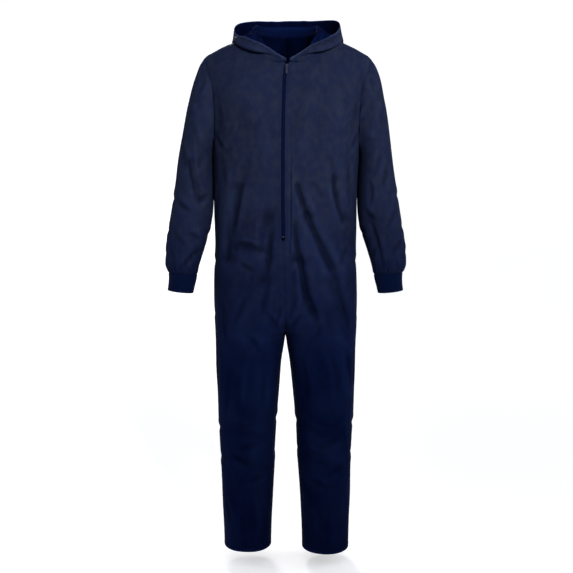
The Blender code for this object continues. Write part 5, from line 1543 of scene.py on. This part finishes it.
# The coil's teeth reach across the middle by turns from either side; above the slider they stand apart.
def zipTeeth():
    sliderTop = zipper["sliderAt"] - zipper["sliderLength"] / 2
    sliderFoot = zipper["sliderAt"] + zipper["sliderLength"] / 2 + zipper["layerGap"]
    foot = zipLong - zipper["stopLong"] - 3 * zipper["layerGap"]
    opened = np.arange(zipper["fromNeck"] + tooth["first"], sliderTop - tooth["aboveSlider"], tooth["pitch"])
    centres, axes, ups = [], [], []
    for way in (1, -1):
        first = sliderFoot + tooth["belowSlider"] + way * tooth["pitch"] / 4
        closed = np.arange(first, foot, tooth["pitch"])
        for wanted, aside in ((closed, tooth["aside"]), (opened, tooth["openAside"])):
            middle, across, out = (takenAt(wanted, zipAlong, path) for path in zipPaths)
            centres.append(middle + across * way * aside - out * tooth["sunk"])
            axes.append(across)
            ups.append(out)
    centres, axes, ups = (np.concatenate(values) for values in (centres, axes, ups))
    return capsules("zip_teeth", centres, axes, ups, tooth, coilFinish)


teeth = zipTeeth()
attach(teeth, "garment")
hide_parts("zip_chain")

hinge = np.array(frame["joints"][0]["pos_m"])
sliderOut = unit(takenAt([zipper["sliderAt"]], zipAlong, zipOut)[0] * (0, 1, 1))
sliderAxes = np.stack([np.array((1.0, 0, 0)), -sliderOut, np.cross((1.0, 0, 0), -sliderOut)])


# Points given by x, y inwards from the hinge and z up the cloth, taken to the garment.
def fromHinge(points):
    return hinge + points.reshape(-1, 3) @ sliderAxes


# A squared oval: cos and sin of the turn, each raised to a power, over half its width and length.
def oval(turn, wide, long, power):
    x = np.sign(np.cos(turn)) * np.abs(np.cos(turn)) ** power * wide / 2
    z = np.sign(np.sin(turn)) * np.abs(np.sin(turn)) ** power * long / 2
    return x, z


# The slider's plates: shield outlines of half width w(t) = W * (1 - 0.22 t^2), t from 0 at the middle to
# 1 at the foot, with round edges.
def sliderRings():
    x, z = oval(fullTurn(32), zipper["sliderWidth"], zipper["sliderLength"], zipper["sliderRoundness"])
    foot = np.clip(-z / (zipper["sliderLength"] / 2), 0, 1)
    x = x * (1 - zipper["sliderTaper"] * foot**2)
    deep = zipper["sliderProud"] + zipper["sliderSunk"]
    rings = []
    for depth, size in zipper["sliderProfile"]:
        y = np.full_like(x, zipper["bailLift"] + depth * deep)
        rings.append(np.stack([x * size, y, z * size], axis=1))
    return np.array(rings)


# The bail: a wire ring round the hinge's own line.
def bailRing():
    turn = fullTurn(32)[:, None]
    wire = fullTurn(12)[None]
    reach = zipper["bailRadius"] + zipper["bailWire"] * np.cos(wire)
    wide = zipper["bailWire"] * np.sin(wire) * zipper["bailWider"]
    points = np.stack([wide + 0 * turn, reach * np.cos(turn), reach * np.sin(turn)], axis=-1)
    quads = gridQuads(*points.shape[:2], closeRows=True, closeColumns=True)
    return addMesh("zip_bail", fromHinge(points), quads, None, zincFinish)


plates = sliderRings()
sliderBody = addMesh("zip_slider_body", fromHinge(plates), barQuads(*plates.shape[:2]), None, zincFinish)
bail = bailRing()
for piece in (sliderBody, bail):
    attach(piece, "garment")
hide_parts("zip_slider")

pull = {
    "long": 0.0235, "wide": 0.0056, "thick": 0.0010, "roundness": 0.40, "bar": 0.0010,
    "holeWide": 0.0028, "holeLong": 0.0048, "holeRoundness": 0.55,
    # half its section, as shares: from the hole outwards, and how thick it is there
    "section": (
        (0.00, 0.60), (0.05, 0.88), (0.14, 1.00), (0.34, 1.00), (0.42, 0.72),
        (0.78, 0.72), (0.84, 1.00), (0.94, 1.00), (0.985, 0.85), (1.00, 0.55),
    ),
}


# The pull tab: a ring of sections between the hole's outline and the tab's, each a rounded, sunken plate.
def pullTab():
    def outline(wide, long, top, power):
        x, z = oval(fullTurn(64), wide, long, power)
        return np.stack([x, z + top - long / 2], axis=1)

    outer = outline(pull["wide"], pull["long"], pull["bar"] / 2, pull["roundness"])
    hole = outline(pull["holeWide"], pull["holeLong"], -pull["bar"] / 2, pull["holeRoundness"])
    section = pull["section"] + tuple((share, -high) for share, high in pull["section"][::-1])
    rings = []
    for share, high in section:
        x, z = (hole + (outer - hole) * share).T
        rings.append(np.stack([x, np.full_like(x, -high * pull["thick"] / 2), z], axis=1))
    quads = gridQuads(len(section), len(hole), closeRows=True, closeColumns=True)[:, ::-1]
    return addMesh("zip_pull_tab", fromHinge(np.array(rings)), quads, None, zincFinish)


tab = pullTab()
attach(tab, "pull")
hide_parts("zip_pull")

# The bottom stop: a folded metal clip over both tapes
stopAt = zipLong - zipper["stopLong"] / 2 - zipper["layerGap"]
stopMiddle, stopAcross, stopOut = (takenAt([stopAt], zipAlong, path)[0] for path in zipPaths)
stopDown = np.cross(stopOut, stopAcross)
stopX, stopZ = oval(fullTurn(24)[:, None], zipper["stopWide"], zipper["stopLong"], zipper["stopRoundness"])
stopRings = []
for depth, size in zipper["stopProfile"]:
    away = -zipper["stopGap"] - depth * zipper["stopThick"]
    stopRings.append(stopMiddle + stopAcross * (stopX * size) + stopDown * (stopZ * size) + stopOut * away)
stopRings = np.array(stopRings)
stop = addMesh("zip_bottom_stop", stopRings.reshape(-1, 3), barQuads(*stopRings.shape[:2]), None, zincFinish)
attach(stop, "garment")
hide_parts("zip_stop")
print("zip made, teeth faces", len(teeth.data.polygons))


# The tape over the back neck seam, inside the foot of the hood

neckTape = {"start": 0.0008, "height": 0.011, "cloth": 0.0008, "fromAngle": 96, "rows": 9, "hoodRows": 12}


def neckTapeSheet():
    _, frontAngle = neckline(1, "front", body["neckRows"] + 1)
    _, backAngle = neckline(1, "back", body["neckRows"] + 1)
    angles = np.concatenate((frontAngle[::-1], backAngle[1:]))
    behind = np.flatnonzero(angles >= neckTape["fromAngle"])
    wanted = neckTape["start"] + np.linspace(0, neckTape["height"], neckTape["rows"])
    columns, ways = [], []
    for name, order in (("hood_right", behind), ("hood_left", behind[-2::-1])):
        points = sheets[name]["points"][: neckTape["hoodRows"], order]
        out = unit(sheets[name]["out"][: neckTape["hoodRows"], order])
        far = summed(points)
        columns += [takenAt(wanted, far[:, c], points[:, c]) for c in range(len(order))]
        ways += [takenAt(wanted, far[:, c], out[:, c]) for c in range(len(order))]
    points = np.array(columns).transpose(1, 0, 2)
    out = unit(np.array(ways).transpose(1, 0, 2))
    grid = points - out * (hood["cloth"] + zipper["layerGap"])
    plain = newSheet("neck_tape", grid, False, False, neckTape["cloth"])
    return plain | {"normal": out, "out": out, "surface": grid}


made["neck_tape"] = wallOf(neckTapeSheet(), tapeFinish)
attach(made["neck_tape"], "garment")
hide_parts("neck_tape")


# Sewing: rows of single stitches that lie on the cloth, each at its distance from an edge

sewing = {
    "seam": 0.0032, "zip": 0.0055, "placket": (0.0172, 0.0200), "placketFrom": 6, "placketTo": 62,
    "zipRowsPast": 3, "hem": (0.0128, 0.0153), "hood": 0.0140, "cuff": 0.0024,
}
neckSpan = slice(0, body["neckRows"] + 1)
zipSpan = slice(body["neckRows"], body["upperRows"] + body["torsoRows"] + sewing["zipRowsPast"])
placketSpan = slice(body["neckRows"] + sewing["placketFrom"], body["upperRows"] + sewing["placketTo"])
for word in ("left", "right"):
    front, back = sheets[f"front_{word}"], sheets[f"back_{word}"]
    rows = [seamPath(piece, "inner", sewing["seam"], neckSpan) for piece in (front, back)]
    rows += [seamPath(front, "inner", sewing["zip"], zipSpan)]
    if word == "left":
        rows += [seamPath(front, "inner", away, placketSpan) for away in sewing["placket"]]
    hems = [seamPath(piece, "bottom", away) for piece in (front, back) for away in sewing["hem"]]
    stitchRows(f"stitches_front_{word}", rows, threadFinish)
    stitchRows(f"stitches_hem_{word}", hems, threadFinish)
    for kind, sewn in (("hood", "hood"), ("cuff", "sleeve")):
        path = seamPath(sheets[f"{sewn}_{word}"], "bottom", sewing[kind])
        stitchRows(f"stitches_{kind}_{word}", [path], threadFinish)
print("sewing done")


# The photo's view, a pale seamless studio and its light

sweep = {"ground": -1.585, "near": -6.0, "far": 3.2, "bend": 1.6, "top": 5.0, "half": 7.0}
glow = {"fromY": -1.6, "toY": -0.12, "strength": 0.45, "fromX": 2.4, "toX": 6.5, "atSides": 0.3}


# Floor, a quarter round behind, and a wall: one seamless backdrop. Its own light grows from in front of
# the part to behind it, and falls off to both sides.
def backdrop():
    turn = np.linspace(0, np.pi / 2, 25)
    back = sweep["far"] + sweep["bend"]
    y = np.concatenate(([sweep["near"]], sweep["far"] + sweep["bend"] * np.sin(turn), [back]))[:, None]
    z = np.concatenate(([0], sweep["bend"] * (1 - np.cos(turn)), [sweep["top"]]))[:, None] + sweep["ground"]
    x = np.array([[-sweep["half"], sweep["half"]]])
    points = np.stack(np.broadcast_arrays(x, y, z), axis=-1)
    finish, tree, place = newMaterial("white paper backdrop")
    axes = addNode(tree, "SeparateXYZ", {"Vector": place})
    behind = ranged(tree, axes.outputs["Y"], glow["fromY"], glow["toY"], 0.0, glow["strength"])
    beside = addNode(tree, "Math", {"operation": "ABSOLUTE", 0: axes.outputs["X"]}).outputs[0]
    framed = ranged(tree, beside, glow["fromX"], glow["toX"], 1.0, glow["atSides"])
    shaded(tree, {
        "Base Color": hexColour("#eeeeee"), "Roughness": 1.0, "Specular IOR Level": 0.0,
        "Emission Color": (1, 1, 1, 1), "Emission Strength": combined(tree, "MULTIPLY", behind, framed),
    })
    return addMesh("backdrop", points.reshape(-1, 3), gridQuads(len(y), 2), None, finish)


# A round soft light at a place, turned towards its target.
def softLight(name, place, target, watts, size, spread, colour):
    light = bpy.data.lights.new(name, "AREA")
    light.spread = math.radians(spread)
    light.shape = "DISK"
    light.size = size
    light.energy = watts
    light.color = hexColour(colour)[:3]
    made = bpy.data.objects.new(name, light)
    made.location = place
    way = np.array(target) - np.array(place)
    turn = math.atan2(way[1], way[0]) - math.pi / 2
    made.rotation_mode = "XYZ"
    made.rotation_euler = (math.atan2(math.hypot(way[0], way[1]), -way[2]), 0, turn)
    bpy.context.scene.collection.objects.link(made)
    return made


lights = [  # name, place, target, watts, size, spread in degrees, colour
    ("key", (1.25, -3.3, 0.95), (0.0, 0.0, -0.24), 10.0, 1.0, 26, "#fffaf4"),
    ("back", (-0.70, 3.1, 0.90), (0.0, 0.0, -0.50), 9, 1.0, 34, "#fffaf4"),
    ("side_right", (-3.0, 0.9, 0.5), (0.0, 0.0, -0.55), 3.2, 1.4, 40, "#ffffff"),
    ("side_left", (3.0, 0.9, 0.5), (0.0, 0.0, -0.55), 3.2, 1.4, 40, "#ffffff"),
]
stage = [backdrop()] + [softLight(*light) for light in lights]

sky = {"colour": "#f1f4ff", "strength": 0.62}
world = bpy.data.worlds.new("studio")
world.use_nodes = True
world.node_tree.nodes["Background"].inputs["Color"].default_value = hexColour(sky["colour"])
world.node_tree.nodes["Background"].inputs["Strength"].default_value = sky["strength"]
bpy.context.scene.world = world

view = {"lens": 58.64, "sensor": 36, "place": (0, -2.7803, -0.4075), "down": 6.8, "reach": 60}
camera = bpy.data.objects.new("camera", bpy.data.cameras.new("camera"))
camera.data.lens = view["lens"]
camera.data.sensor_width = view["sensor"]
camera.data.clip_end = view["reach"]
camera.location = view["place"]
camera.rotation_euler = (math.radians(90 - view["down"]), 0, 0)
bpy.context.scene.collection.objects.link(camera)
bpy.context.scene.camera = camera
bpy.context.scene.view_settings.view_transform = "Standard"
print("stage set")
